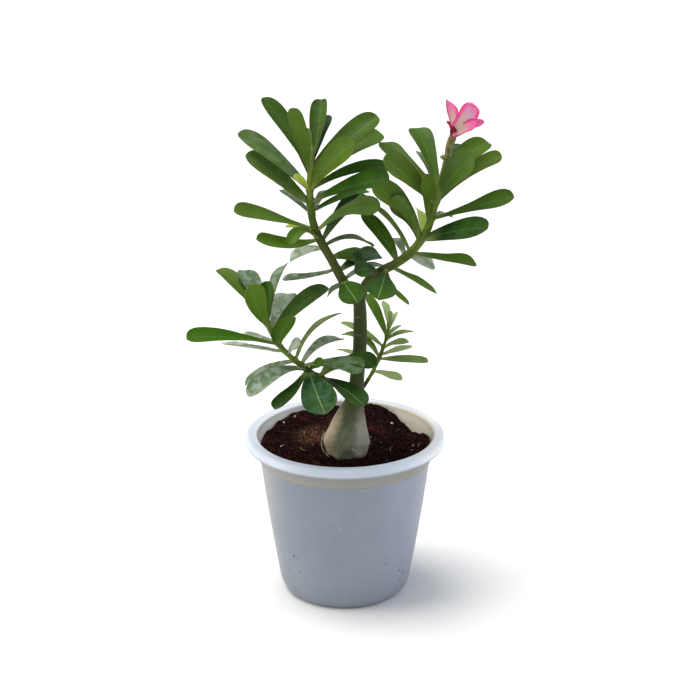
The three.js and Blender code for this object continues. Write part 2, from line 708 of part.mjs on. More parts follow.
const LOWER_LEFT_LEAVES = [
  {
    name: "upper left", root: [268, 325], tip: [218.5, 269.5], length: 82, width: 22, roll: 45,
    shape: BROAD_LEAF, end: 0.3,
  },
  { name: "hazy behind", root: [264, 325], tip: [243, 270.5], length: 68, width: 22, roll: 30 },
  {
    name: "bright upright", root: [268, 328], tip: [249.5, 285.5], length: 56, width: 27, near: true,
    roll: 20, fold: 30, through: [256.5, 306], shape: FLAT_LEAF, end: 0.5,
  },
  {
    name: "bright folded", root: [268, 326], tip: [271, 282.5], length: 50, width: 20, near: true,
    roll: 40, fold: 30, shape: FLAT_LEAF, end: 0.45,
  },
  {
    name: "mottled upright", root: [268, 324], tip: [286.5, 264], length: 72, width: 16, roll: 52,
    through: [275.5, 284], shape: BROAD_LEAF,
  },
  {
    name: "silver behind", root: [271, 331], tip: [289, 294], length: 62, width: 24, roll: 30,
    through: [280, 311],
  },
  { name: "right", root: [273, 335], tip: [327, 287], length: 76, width: 22, roll: 40, shape: BROAD_LEAF },
  {
    name: "olive pointed front", root: [280, 348], tip: [295.5, 317.5], length: 48, width: 22,
    near: true, roll: 24, fold: 48, through: [282, 333], shape: POINTED_LEAF, end: 0.03,
  },
  {
    name: "bright long left", root: [277, 346], tip: [186.5, 338], length: 94, width: 22.5, near: true,
    roll: 50, through: [233, 337.5], shape: SPOON_LEAF, end: 0.2,
  },
  {
    name: "silver edge on", root: [284, 353], tip: [222.5, 343.5], length: 72, width: 14, roll: 76,
    through: [252, 347.5],
  },
  {
    name: "silver behind long left", root: [276, 343], tip: [243, 334], length: 52, width: 10,
    roll: 40, through: [258, 338],
  },
  {
    name: "pale arching right", root: [296, 360], tip: [341, 313], length: 76, width: 13, roll: 66,
    through: [312, 331],
  },
  { name: "silver small", root: [288, 354], tip: [300, 343], length: 36, width: 13, near: true, roll: 50 },
  {
    name: "silver pink edged", root: [304, 362], tip: [342, 339.5], length: 58, width: 20, roll: 58,
    through: [319, 346],
  },
  {
    name: "misty over the trunk", root: [305, 362], tip: [361.8, 371], length: 64, width: 24,
    near: true, roll: 46, through: [338, 364.5],
  },
  {
    name: "dark over the trunk", root: [318, 376], tip: [375, 366], length: 64, width: 20, near: true,
    roll: 48, through: [350, 361],
  },
  {
    name: "olive below", root: [320, 378], tip: [346, 368], length: 38, width: 20, roll: 40,
    through: [332, 367.5],
  },
  { name: "small olive", root: [309, 371], tip: [323, 362], length: 28, width: 11, near: true, roll: 40 },
  {
    name: "bluish ribbed front", root: [309, 371], tip: [325, 414], length: 66, width: 36, near: true,
    roll: 4, through: [315, 389], end: 0.3,
  },
  {
    name: "dark folded below", root: [307, 371], tip: [275, 409], length: 64, width: 20, near: true,
    roll: 44, fold: 26, through: [293, 392],
  },
  {
    name: "dark ribbed lower right", root: [322, 379], tip: [364, 406], length: 66, width: 24,
    near: true, roll: 40,
  },
  {
    name: "mottled lower left", root: [307, 370], tip: [248, 396], length: 72, width: 20, near: true,
    roll: 44, through: [279, 373],
  },
  {
    name: "mottled behind lower left", root: [296, 361], tip: [245, 384], length: 68, width: 15,
    roll: 50, through: [270, 369],
  },
];

const REAR_LEAVES = [
  {
    name: "vivid upright", root: [386, 337], tip: [366, 293], length: 52, width: 13, roll: 40,
    through: [377.5, 316],
  },
  { name: "pale upright", root: [389, 326], tip: [384, 301], length: 34, width: 9, roll: 30 },
  { name: "tip", root: [389, 328], tip: [391, 311], length: 20, width: 6, roll: 30 },
  { name: "pale right", root: [388, 334], tip: [397, 312], length: 34, width: 9, roll: 45 },
  { name: "narrow right", root: [386, 340], tip: [413, 331.5], length: 38, width: 9, roll: 60 },
  { name: "right", root: [385, 349], tip: [408, 342], length: 36, width: 9, near: true, roll: 55 },
  {
    name: "long right", root: [381, 360], tip: [428, 361.5], length: 56, width: 13, near: true,
    roll: 52, through: [402, 360],
  },
  { name: "small pale", root: [382, 356], tip: [412, 346], length: 36, width: 9, roll: 50, arch: 0 },
  {
    name: "pale low right", root: [373, 371], tip: [401, 380], length: 44, width: 12, near: true,
    roll: 50, through: [388, 375],
  },
  {
    name: "behind the trunk", root: [379, 358], tip: [342, 334.5], length: 52, width: 12, roll: 50,
    through: [364, 339.5],
  },
  {
    name: "higher behind the trunk", root: [384, 347], tip: [341, 322], length: 58, width: 12,
    roll: 52, through: [363, 332.5],
  },
  { name: "thin behind the trunk", root: [375, 367], tip: [337, 349], length: 50, width: 8, roll: 60 },
  { name: "pale upper right", root: [387, 337], tip: [401, 325.5], length: 22, width: 6, roll: 50 },
];

function leafyStem(name, stem, leaves, look) {
  const curve = stemCurve(stem);
  const blades = leaves.map((leaf) => leafBlade(curve, leaf));
  return mesh(name, join([stemRest(stem), ...blades]), look);
}

function narrowLeaves(leaves) {
  const narrow = { shape: POINTED_LEAF, steps: NARROW_BLADE_STEPS, stalk: NARROW_STALK };
  return leaves.map((leaf) => ({ ...leaf, ...narrow }));
}

// The flower: a tube from the tip of the right stem that swells and closes over its dark throat, and the
// lobes, which leave it along its mouth
const FLOWER_DEPTH = -34;
const FLOWER_TUBE = [[445, 162], [446.8, 155.8], [449.2, 146.4], [452.4, 138], [454.6, 131], [456.8, 123.5]];
const FLOWER_TUBE_RADII = [1.7, 2.5, 3.4, 3.9, 2.7, 0.6];
const FLOWER_STALK = 6;
const FLOWER_MOUTH = [0.72, 0.94];
const FLOWER_TUBE_STEPS = 6;
const FLOWER_TUBE_SIDES = 10;
const FLOWER_PETALS = [
  {
    name: "hot left", root: [455, 132], tip: [447.4, 100.2], length: 34, width: 13.5, roll: 22,
    twist: 36, through: [451.4, 114], shape: OVAL_LEAF, end: 0.03,
  },
  {
    name: "full right", root: [455, 132], tip: [473.2, 104.2], length: 34, width: 18.5, near: true,
    roll: 8, fold: 8, through: [466.5, 118], shape: WIDE_PETAL, end: 0.68,
  },
  {
    name: "hot back right", root: [455, 132], tip: [484.4, 122], length: 31, width: 7, roll: 30,
    twist: 40, shape: POINTED_LEAF, end: 0.03,
  },
  {
    name: "hot lower lip", root: [453, 137], tip: [477.8, 123], length: 29, width: 12, near: true,
    roll: 34, through: [466, 128.2], shape: WIDE_PETAL, end: 0.4,
  },
  {
    name: "crimson left", root: [451, 139], tip: [452.6, 126], length: 13, width: 4.5, near: true,
    roll: 0, arch: 0, twist: 10, shape: POINTED_LEAF, end: 0.03,
  },
  {
    name: "crimson behind left", root: [455, 132], tip: [448.6, 121.5], length: 15, width: 7, roll: 40,
    shape: PETAL,
  },
];

function makeFlower() {
  const curve = new THREE.CatmullRomCurve3(FLOWER_TUBE.map((at) => placeAtDepth(at, FLOWER_DEPTH)));
  const start = CLEARANCE / curve.getLength();
  const tube = limb(
    curve, (share) => along(FLOWER_TUBE_RADII, share), start, 1, FLOWER_TUBE_STEPS, FLOWER_TUBE_SIDES,
  );
  const mouth = new THREE.CatmullRomCurve3(FLOWER_MOUTH.map((share) => curve.getPointAt(share)));
  const petals = FLOWER_PETALS.map((petal) => {
    return leafBlade(mouth, { ...petal, steps: PETAL_STEPS, stalk: FLOWER_STALK });
  });
  return mesh("flower", join([tube, ...petals]), { color: 0xe0508a, roughness: 0.55, metalness: 0 });
}

// The trunk with the short feet of its four stems
function makeTrunk() {
  const feet = Object.values(STEMS).map(stemFoot);
  const look = { color: 0x77735a, roughness: 0.8, metalness: 0 };
  return mesh("trunk", join([makeTrunkBody(0), ...feet]), look);
}

const oldLeaf = { color: 0x3f6b32, roughness: 0.38, metalness: 0 };
const youngLeaf = { color: 0x6f8f3c, roughness: 0.5, metalness: 0 };

const plant = new THREE.Group();
plant.add(makeTrunk());
plant.add(leafyStem("stem_upper_left", STEMS.upperLeft, UPPER_LEFT_LEAVES, oldLeaf));
plant.add(leafyStem("stem_upper_right", STEMS.upperRight, UPPER_RIGHT_LEAVES, oldLeaf));
plant.add(leafyStem("stem_lower_left", STEMS.lowerLeft, LOWER_LEFT_LEAVES, oldLeaf));
plant.add(leafyStem("shoot_rear", STEMS.rear, narrowLeaves(REAR_LEAVES), youngLeaf));
plant.add(makeFlower());

const pottedPlant = new THREE.Group();
pottedPlant.add(makePot());
pottedPlant.add(makeSoil(makeTrunkBody(CLEARANCE)));
pottedPlant.add(plant);

export default pottedPlant;
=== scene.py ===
# %% [markdown]
# A young desert rose in a white nursery pot.
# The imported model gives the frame: where the pot, the soil, the trunk, the leafy stems and the flower are.
# Every cell below takes one of these, says what it is on the real plant, and models a finer one in its place.

# %% The frame
import math
import random

import bpy
import numpy as np
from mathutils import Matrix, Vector, noise


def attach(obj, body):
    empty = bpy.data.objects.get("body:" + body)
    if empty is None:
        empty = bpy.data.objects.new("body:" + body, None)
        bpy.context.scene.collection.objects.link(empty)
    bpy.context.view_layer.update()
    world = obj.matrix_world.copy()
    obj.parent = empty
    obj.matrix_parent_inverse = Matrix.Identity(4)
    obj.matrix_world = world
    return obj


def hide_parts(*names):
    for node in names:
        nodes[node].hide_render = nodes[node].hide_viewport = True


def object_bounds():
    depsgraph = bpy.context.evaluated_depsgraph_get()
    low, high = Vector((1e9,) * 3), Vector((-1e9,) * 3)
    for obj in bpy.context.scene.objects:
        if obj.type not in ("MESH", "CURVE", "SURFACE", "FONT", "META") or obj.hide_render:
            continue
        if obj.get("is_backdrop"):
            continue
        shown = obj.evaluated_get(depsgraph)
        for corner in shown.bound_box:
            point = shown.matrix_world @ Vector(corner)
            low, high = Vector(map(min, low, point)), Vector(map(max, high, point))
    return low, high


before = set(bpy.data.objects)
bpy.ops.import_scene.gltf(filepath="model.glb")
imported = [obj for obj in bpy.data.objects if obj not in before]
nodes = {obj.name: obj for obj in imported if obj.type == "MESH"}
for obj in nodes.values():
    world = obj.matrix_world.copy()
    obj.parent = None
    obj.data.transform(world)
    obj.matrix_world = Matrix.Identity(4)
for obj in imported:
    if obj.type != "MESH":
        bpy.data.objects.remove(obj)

MM = 0.001
size_of_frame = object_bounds()
print("frame:", sorted(nodes))

# %% [markdown]
# The plant's places were read off the photograph, as the column and row where each thing is seen in it.
# A place in a picture is only a line of sight. It becomes a point in the room with one more fact: how far
# behind the pot's axis the thing lies, or how long the leaf is. So the first helpers turn one into the other.

# %% Where the photograph was taken
EYE = np.array([5.0, -1600.0, 821.0])
LOOKING_DOWN = math.radians(19.5)
FOCAL_LENGTH = 1718.0
PICTURE_WIDTH = 700
PICTURE_MIDDLE = PICTURE_WIDTH / 2


def unit(vector):
    return vector / np.linalg.norm(vector, axis=-1, keepdims=True)


def sight_line(seen):
    across = (seen[0] - PICTURE_MIDDLE) / FOCAL_LENGTH
    upward = (PICTURE_MIDDLE - seen[1]) / FOCAL_LENGTH
    sine, cosine = math.sin(LOOKING_DOWN), math.cos(LOOKING_DOWN)
    return np.array([across, cosine + upward * sine, upward * cosine - sine])


def place_at_depth(seen, depth):
    direction = sight_line(seen)
    return EYE + direction * (depth - EYE[1]) / direction[1]


def place_at_length(seen, start, length, near):
    direction = unit(sight_line(seen))
    along = (start - EYE) @ direction
    aside = (start - EYE) @ (start - EYE) - along ** 2
    rest = math.sqrt(max(0, length ** 2 - aside))
    return EYE + direction * (along - rest if near else along + rest)


def seen_at(points):
    offset = np.asarray(points) - EYE
    sine, cosine = math.sin(LOOKING_DOWN), math.cos(LOOKING_DOWN)
    forward = offset[..., 1] * cosine - offset[..., 2] * sine
    upward = offset[..., 1] * sine + offset[..., 2] * cosine
    scale = FOCAL_LENGTH / forward
    return np.stack([PICTURE_MIDDLE + offset[..., 0] * scale, PICTURE_MIDDLE - upward * scale], axis=-1)


print("the middle of the picture meets the pot's axis at", place_at_depth((350, 350), 0).round(1))

# %% [markdown]
# Stems and the trunk follow smooth curves through a few points. Such a curve is kept as a row of close
# points with the length so far at each, so that any share of the way along it can be looked up.

# %% Curves through points
STEPS_PER_SPAN = 20


class Route:
    """A smooth curve through points, read by the share of its length."""

    def __init__(self, points):
        points = np.array(points, float)
        ends = [2 * points[0] - points[1], *points, 2 * points[-1] - points[-2]]
        close = []
        for a, b, c, d in zip(ends, ends[1:], ends[2:], ends[3:]):
            before, between, after = (math.dist(p, q) ** 0.5 for p, q in ((a, b), (b, c), (c, d)))
            leave = between * ((b - a) / before - (c - a) / (before + between) + (c - b) / between)
            reach = between * ((c - b) / between - (d - b) / (between + after) + (d - c) / after)
            for t in np.arange(STEPS_PER_SPAN) / STEPS_PER_SPAN:
                curve = (3 * (c - b) - 2 * leave - reach) * t ** 2 + (2 * (b - c) + leave + reach) * t ** 3
                close.append(b + leave * t + curve)
        close.append(points[-1])
        self.points = np.array(close)
        gaps = np.linalg.norm(np.diff(self.points, axis=0), axis=1)
        self.length = gaps.sum()
        self.shares = np.concatenate([[0], np.cumsum(gaps)]) / self.length

    def at(self, share):
        return np.stack([np.interp(share, self.shares, column) for column in self.points.T], axis=-1)

    def heading(self, share):
        share = np.asarray(share)
        return unit(self.at(np.minimum(share + 0.01, 1)) - self.at(np.maximum(share - 0.01, 0)))


def along(values, share):
    return np.interp(share, np.linspace(0, 1, len(values)), values)


# %% [markdown]
# A few things are done to every piece. It is picked alone before an operator acts, because an operator
# acts on all that is selected. Its modifiers are applied, it is shaded smooth except at real edges, it is
# told what it rides on and given its finish, and the imported parts that it stands for are hidden.

# %% Handling a piece
def pick(piece):
    if bpy.context.object and bpy.context.object.mode != "OBJECT":
        bpy.ops.object.mode_set(mode="OBJECT")
    bpy.ops.object.select_all(action="DESELECT")
    piece.select_set(True)
    bpy.context.view_layer.objects.active = piece
    return piece


def modify(piece, kind, **settings):
    pick(piece)
    bpy.ops.object.modifier_add(type=kind)
    modifier = piece.modifiers[-1]
    for name, value in settings.items():
        setattr(modifier, name, value)
    bpy.ops.object.modifier_apply(modifier=modifier.name)


def join(name, pieces):
    pick(pieces[0])
    for piece in pieces:
        piece.select_set(True)
    if len(pieces) > 1:
        bpy.ops.object.join()
    pieces[0].name = name
    return pieces[0]


def coordinates(piece):
    found = np.empty(len(piece.data.vertices) * 3, np.float64)
    piece.data.vertices.foreach_get("co", found)
    return found.reshape(-1, 3) / MM


def reshape(piece, points):
    piece.data.vertices.foreach_set("co", (np.asarray(points) * MM).ravel())
    piece.data.update()


def face_outwards(piece):
    pick(piece)
    bpy.ops.object.mode_set(mode="EDIT")
    bpy.ops.mesh.select_all(action="SELECT")
    bpy.ops.mesh.normals_make_consistent(inside=False)
    bpy.ops.object.mode_set(mode="OBJECT")


def finish_piece(piece, name, slot, material, stands_for=(), *, sharp):
    piece.name = name
    piece.data.name = name
    if material:
        piece.data.materials.clear()
        piece.data.materials.append(material)
    pick(piece)
    bpy.ops.object.shade_smooth_by_angle(angle=math.radians(sharp))
    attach(piece, "root")
    if stands_for:
        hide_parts(*stands_for)
    triangles = sum(len(face.vertices) - 2 for face in piece.data.polygons)
    print(f"{name}: {triangles} triangles")
    return piece


# %% [markdown]
# Every finish is built from nodes. Patterns read Object coordinates, in metres, so that they stay where
# they are when the model turns, and on leaves and petals they read the leaf's own UV map instead. The
# helper add makes a node, and either sets each input or joins it to another node's output. The others give
# the nodes that recur a plain name.

# %% Making a finish
def new_finish(name):
    finish = bpy.data.materials.new(name)
    finish.use_nodes = True
    return finish, finish.node_tree


def add(tree, kind, inputs=None, **settings):
    made = tree.nodes.new("ShaderNode" + kind)
    for key, value in settings.items():
        setattr(made, key, value)
    for key, value in (inputs or {}).items():
        if isinstance(value, bpy.types.NodeSocket):
            tree.links.new(value, made.inputs[key])
        else:
            made.inputs[key].default_value = value
    return made


def math_of(tree, kind, first, second=0.0, third=0.0, clamp=False):
    settings = {"operation": kind, "use_clamp": clamp}
    return add(tree, "Math", {0: first, 1: second, 2: third}, **settings).outputs[0]


def object_place(tree):
    return add(tree, "TexCoord").outputs["Object"]


def own_value(tree, name):
    return add(tree, "Attribute", attribute_name=name).outputs["Fac"]


def parts_of(tree, vector):
    return add(tree, "SeparateXYZ", {0: vector}).outputs


def times(tree, first, second):
    return math_of(tree, "MULTIPLY", first, second)


def scaled(tree, value, factor, offset):
    return math_of(tree, "MULTIPLY_ADD", value, factor, offset)


def vector_of(tree, kind, first, second=(0, 0, 0)):
    made = add(tree, "VectorMath", {0: first, 1: second}, operation=kind)
    return made.outputs["Value" if kind in ("DISTANCE", "LENGTH") else "Vector"]


def grain(tree, place, scale, detail=4.0, roughness=0.55, stretch=None):
    if stretch:
        place = add(tree, "Mapping", {"Vector": place, "Scale": stretch}).outputs[0]
    inputs = {"Vector": place, "Scale": scale, "Detail": detail, "Roughness": roughness}
    return add(tree, "TexNoise", inputs).outputs[0]


def between(tree, value, low, high):
    inputs = {"Value": value, "From Min": low, "From Max": high}
    return add(tree, "MapRange", inputs, interpolation_type="SMOOTHSTEP").outputs[0]


# %% [markdown]
# With these a finish reads as a list of coats, each painted over the last by a share from 0 to 1. What the
# coats come to, and how rough, raised and glossy the surface is, goes to the shader at the end.

# %% Coats of colour
def blend_of(tree, share, first, second):
    first, second = ((*c, 1) if isinstance(c, tuple) else c for c in (first, second))
    return add(tree, "Mix", {0: share, 6: first, 7: second}, data_type="RGBA").outputs[2]


def paint(tree, under, share, colour, strength=None):
    """A colour laid over what is under it, by a share, and thinner where a strength is given."""
    return blend_of(tree, share if strength is None else times(tree, share, strength), under, colour)


def raised(tree, height, distance, strength, normal=None):
    inputs = {"Height": height, "Distance": distance, "Strength": strength}
    if normal:
        inputs["Normal"] = normal
    return add(tree, "Bump", inputs).outputs[0]


def surface(tree, **inputs):
    shader = tree.nodes["Principled BSDF"]
    for key, value in inputs.items():
        key = key.replace("_", " ")
        if isinstance(value, bpy.types.NodeSocket):
            tree.links.new(value, shader.inputs[key])
        else:
            shader.inputs[key].default_value = value


# %% [markdown]
# The pot is thin white plastic: a tapered body with a rounded foot, a collar, and a rolled rim that a hand
# can grip. Its profile could be turned about the axis with Spin. Here one ring is pulled up the outside,
# over the rim and down the inside, as a potter pulls a wall, because each step is then one radius and one
# height. These are the pot's measures in millimetres, as they were worked out from the photograph.

# %% The pot's measures
POT_HEIGHT = 167.4
RIM_RADIUS = 99.5
MOUTH_RADIUS = 88.0
LIP_FOOT = 158.0
COLLAR_RADIUS = 86.8
COLLAR_FOOT = 142.5
BODY_TOP_RADIUS = 85.2
BODY_FOOT_RADIUS = 66.5
FOOT_HEIGHT = 13.0
BASE_RADIUS = 57.5
BODY_TOP = COLLAR_FOOT - 2
BODY_SWELL = 0.9
BODY_STEPS = 24
WALL = 1.9
WELL_RADIUS = COLLAR_RADIUS - WALL
FLOOR = 2.4
POT_SIDES = 144

# %% [markdown]
# The profile is a row of radii and heights. The foot, the collar and the rolled rim are arcs, and the body
# between them is nearly straight. It swells by less than a millimetre, as moulded plastic does.


# %% The pot's profile
def arc(middle, size, start, end, steps):
    angles = [math.radians(start + (end - start) * i / steps) for i in range(steps + 1)]
    return [(middle[0] + size * math.cos(a), middle[1] + size * math.sin(a)) for a in angles]


def body_radius(share):
    """The radius of the body at a share of the way up from its foot, swollen a little in the middle."""
    straight = BODY_FOOT_RADIUS + (BODY_TOP_RADIUS - BODY_FOOT_RADIUS) * share
    return straight + BODY_SWELL * math.sin(math.pi * share)


def inner_body_radius(height):
    share = (height - FOOT_HEIGHT) / (COLLAR_FOOT - FOOT_HEIGHT)
    return BODY_FOOT_RADIUS + (BODY_TOP_RADIUS - BODY_FOOT_RADIUS) * share - WALL


body_shares = [i / BODY_STEPS for i in range(BODY_STEPS + 1)]
body = [(body_radius(share), FOOT_HEIGHT + (BODY_TOP - FOOT_HEIGHT) * share) for share in body_shares]
outside = [
    (BASE_RADIUS, 0),
    (BASE_RADIUS + 1.6, 0.3),
    (BASE_RADIUS + 3, 1.2),
    (BASE_RADIUS + 5.2, 4),
    (BASE_RADIUS + 7.2, 8),
    (BODY_FOOT_RADIUS - 0.7, FOOT_HEIGHT - 2),
    *body,
    (BODY_TOP_RADIUS + 0.2, COLLAR_FOOT - 1),
    *arc((COLLAR_RADIUS - 0.9, COLLAR_FOOT + 0.4), 0.9, -75, -8, 4),
    (COLLAR_RADIUS + 0.1, LIP_FOOT - 3),
    (COLLAR_RADIUS + 0.3, LIP_FOOT - 0.7),
    (COLLAR_RADIUS + 1.1, LIP_FOOT),
    (RIM_RADIUS - 5, LIP_FOOT - 0.1),
    (RIM_RADIUS - 1.4, LIP_FOOT),
    *arc((RIM_RADIUS - 1.3, LIP_FOOT + 1.3), 1.3, -80, -5, 4),
]
inside = [
    *arc((RIM_RADIUS - 4, POT_HEIGHT - 4), 4, 0, 86, 8),
    (RIM_RADIUS - 6.2, POT_HEIGHT - 0.12),
    (MOUTH_RADIUS + 4.6, POT_HEIGHT - 0.1),
    *arc((MOUTH_RADIUS + 3, POT_HEIGHT - 3), 3, 92, 180, 8),
    (WELL_RADIUS + 1.6, LIP_FOOT + 1.5),
    (WELL_RADIUS + 0.3, LIP_FOOT - 2.5),
    (WELL_RADIUS, COLLAR_FOOT + 2),
    (inner_body_radius(COLLAR_FOOT - 3), COLLAR_FOOT - 3),
    (inner_body_radius(FOOT_HEIGHT - 3), FOOT_HEIGHT - 3),
    (BASE_RADIUS, FLOOR),
]

# %% [markdown]
# A circle with the first radius is extruded once for each step of the profile, moved to the step's height
# and scaled to its radius. The last ring and the first are closed by a face.


# %% The pot's rings
def pull_rings(profile, sides):
    radius, height = profile[0]
    start = (0, 0, height * MM)
    bpy.ops.mesh.primitive_circle_add(vertices=sides, radius=radius * MM, location=start)
    piece = bpy.context.object
    bpy.ops.object.transform_apply(location=True)
    bpy.ops.object.mode_set(mode="EDIT")
    bpy.ops.mesh.select_all(action="SELECT")
    for (r0, z0), (r1, z1) in zip(profile, profile[1:]):
        lift = {"value": (0, 0, (z1 - z0) * MM)}
        bpy.ops.mesh.extrude_region_move(TRANSFORM_OT_translate=lift)
        bpy.ops.transform.resize(value=(r1 / r0, r1 / r0, 1), center_override=(0, 0, z1 * MM))
    bpy.ops.mesh.select_all(action="SELECT")
    bpy.ops.mesh.fill_holes(sides=0)
    bpy.ops.object.mode_set(mode="OBJECT")
    face_outwards(piece)
    return piece


bpy.ops.object.select_all(action="DESELECT")
pot = pull_rings(outside + inside, POT_SIDES)
print("pot rings:", len(outside + inside))

# %% [markdown]
# Water leaves through six round holes in the floor. Each is cut by a plain rod with a Boolean modifier.

# %% The pot's drain holes
DRAIN_HOLES = 6
DRAIN_RADIUS = 3.5
DRAIN_CIRCLE = 40.0
ROD_LENGTH = 20.0

for i in range(DRAIN_HOLES):
    turn = 2 * math.pi * i / DRAIN_HOLES
    spot = (DRAIN_CIRCLE * MM * math.cos(turn), DRAIN_CIRCLE * MM * math.sin(turn), 0)
    size = {"radius": DRAIN_RADIUS * MM, "depth": ROD_LENGTH * MM}
    bpy.ops.mesh.primitive_cylinder_add(vertices=24, location=spot, **size)
    rod = bpy.context.object
    modify(pot, "BOOLEAN", operation="DIFFERENCE", solver="EXACT", object=rod)
    bpy.data.objects.remove(rod)

# %% [markdown]
# A thin pot is never truly round. The body gives a little between the hands that carried it, and more so
# at the rim, so its points are moved out and in by a fraction of a millimetre. The pot is bent from its
# perfect radii now, so its finish can't tell the inside from the outside by them. Each point keeps a mark
# of its own instead, facing_in, which is 1 where the wall looks to the pot's axis.

# %% The pot gives a little
places = coordinates(pot)
around = np.arctan2(places[:, 1], places[:, 0])
height = places[:, 2]
give = 0.35 * np.sin(2 * around + 0.7) + 0.2 * np.sin(3 * around + 2)
give = give + 0.12 * np.sin(7 * around + height / 30)
places[:, :2] *= 1 + (give * np.clip(height / POT_HEIGHT, 0, 1) / RIM_RADIUS)[:, None]
reshape(pot, places)
face_outwards(pot)
normals = np.array([v.normal for v in pot.data.vertices])
inwards = -np.sum(normals[:, :2] * places[:, :2], axis=1) / np.linalg.norm(places[:, :2], axis=1)
facing_in = pot.data.attributes.new("facing_in", "FLOAT", "POINT")
facing_in.data.foreach_set("value", np.clip(inwards * 2, 0, 1).astype(np.float32))

# %% [markdown]
# The plastic is satin, a cool white. Its finish is built up in coats. The first is the uneven white itself,
# painted darker and bluer as painted shade on the pot's sides, then faint streaks of dust, which are noise
# stretched upwards, and painted light, lavender at the right and warm at the left.

# %% The pot's plastic
plastic, tree = new_finish("pot_plastic")
place = object_place(tree)
x, y, z = parts_of(tree, place)
broad = grain(tree, place, 9, 3)
streak = grain(tree, place, 60, 3, 0.5, stretch=(1, 1, 0.06))
fine = grain(tree, place, 900, 2)
# Painted shade: the body's white is darker and bluer than the plastic.
white = blend_of(tree, between(tree, broad, 0.35, 0.65), (0.203, 0.240, 0.295), (0.243, 0.276, 0.325))
white = paint(tree, white, between(tree, streak, 0.5, 0.8), (0.235, 0.26, 0.29), 0.35)
# Painted light at the sides: lavender from the right, warm from the left.
white = paint(tree, white, between(tree, x, 0.01, 0.07), (0.33, 0.34, 0.47), 0.4)
white = paint(tree, white, between(tree, x, -0.055, -0.085), (0.42, 0.38, 0.33), 0.35)

# %% [markdown]
# Soil water has left the collar a little yellow, and a broken line of painted shade runs along its foot,
# under the small step. The rim above it is painted palest, as lit from above, with painted shade on its front
# and a painted highlight at the right.

# %% The pot's collar and rim
over = between(tree, z, (COLLAR_FOOT - 2) * MM, (COLLAR_FOOT + 1) * MM)
under = between(tree, z, (LIP_FOOT + 1) * MM, (LIP_FOOT - 1) * MM)
white = paint(tree, white, times(tree, over, under), (0.27, 0.27, 0.25))
# Painted shade in a broken line along the collar's foot, under its step.
line_low = between(tree, z, (COLLAR_FOOT - 1.4) * MM, (COLLAR_FOOT - 0.4) * MM)
line_high = between(tree, z, (COLLAR_FOOT + 1.2) * MM, (COLLAR_FOOT + 0.4) * MM)
broken = between(tree, grain(tree, place, 110, 3), 0.35, 0.6)
dirt_line = times(tree, times(tree, line_low, line_high), broken)
white = paint(tree, white, dirt_line, (0.14, 0.13, 0.12), 0.45)
# Painted light: the rim is paler as lit from above, with painted shade on its front and a painted highlight
# at the right.
rim = between(tree, z, LIP_FOOT * MM, (LIP_FOOT + 4) * MM)
white = paint(tree, white, rim, (0.60, 0.67, 0.79))
front_rim = times(tree, rim, between(tree, y, -0.075, -0.095))
white = paint(tree, white, front_rim, (0.40, 0.45, 0.54), 0.6)
right_rim = times(tree, rim, between(tree, x, 0.06, 0.09))
white = paint(tree, white, right_rim, (0.85, 0.88, 0.92))

# %% [markdown]
# The mouth and the wall below it get their own tone: paler at the left, as painted light on a wall in shade,
# and at the right yellowed by the soil. The mouth is found by its distance from the pot's axis, and the wall
# by the mark facing_in.

# %% The pot's mouth
off_axis = vector_of(tree, "LENGTH", vector_of(tree, "MULTIPLY", place, (1, 1, 0)))
in_mouth = between(tree, off_axis, (MOUTH_RADIUS + 2) * MM, (MOUTH_RADIUS + 0.3) * MM)
in_mouth = times(tree, in_mouth, between(tree, z, (LIP_FOOT + 0.5) * MM, (LIP_FOOT + 1.5) * MM))
mouth = times(tree, over, math_of(tree, "MAXIMUM", own_value(tree, "facing_in"), in_mouth))
white = paint(tree, white, mouth, (0.62, 0.60, 0.58))
# Painted light on the left of the mouth and the wall, where they lie in shade.
left_side = times(tree, mouth, between(tree, x, -0.03, -0.07))
white = paint(tree, white, left_side, (0.92, 0.92, 0.97))
right_side = times(tree, mouth, between(tree, x, 0.02, 0.075))
white = paint(tree, white, right_side, (0.74, 0.70, 0.58), 0.8)

# %% [markdown]
# There are specks of dirt where the pot was splashed, and pale flecks where it was chipped. The larger ones
# are at listed places, brought from the picture to the pot's front. Their edges are moved by fine
# noise, so that none is round. Under the collar lies one soft scuff, between two such places.

# %% Marks on the pot
DARK_SPECKS = [
    ((294.1, 555.9), 1.6), ((296.8, 559.2), 0.7), ((291.4, 559.5), 0.8), ((289.5, 570.1), 1.0),
    ((301.2, 571.4), 1.0), ((305, 577), 0.6), ((298, 589.5), 0.8), ((387, 559), 0.7), ((385.8, 564.4), 1.0),
    ((399.2, 570.4), 1.3), ((402.4, 572.9), 1.4), ((401.6, 559.8), 0.8), ((399.2, 579.1), 1.1),
    ((395.3, 588), 1.0), ((400.6, 584), 0.8), ((328, 488.6), 0.6), ((379, 486), 0.5), ((300, 484), 0.5),
    ((341.7, 567.3), 0.4),
]
PALE_FLECKS = [
    ((338.6, 525.6), 0.9), ((340.4, 529), 0.9), ((347.2, 519), 0.7), ((357.7, 513.7), 0.7),
    ((390, 525.6), 0.8), ((330, 536.4), 0.8), ((326.5, 536), 0.6), ((342, 509.5), 0.5), ((306, 521), 0.6),
]
SCUFF_FROM = (356, 491)
SCUFF_TO = (374, 490.5)
SCUFF_SQUEEZE = (1, 0.5, 3.5)
DEPTH_STEP = 0.1
RAGGED_BY = 0.0014


def on_the_pot(seen):
    """The point of the pot's front that is seen at a place in the picture."""
    for depth in np.arange(-RIM_RADIUS - 0.5, 0, DEPTH_STEP):
        point = place_at_depth(seen, depth)
        share = (point[2] - FOOT_HEIGHT) / (BODY_TOP - FOOT_HEIGHT)
        if math.hypot(point[0], point[1]) < body_radius(share):
            return point
    return point


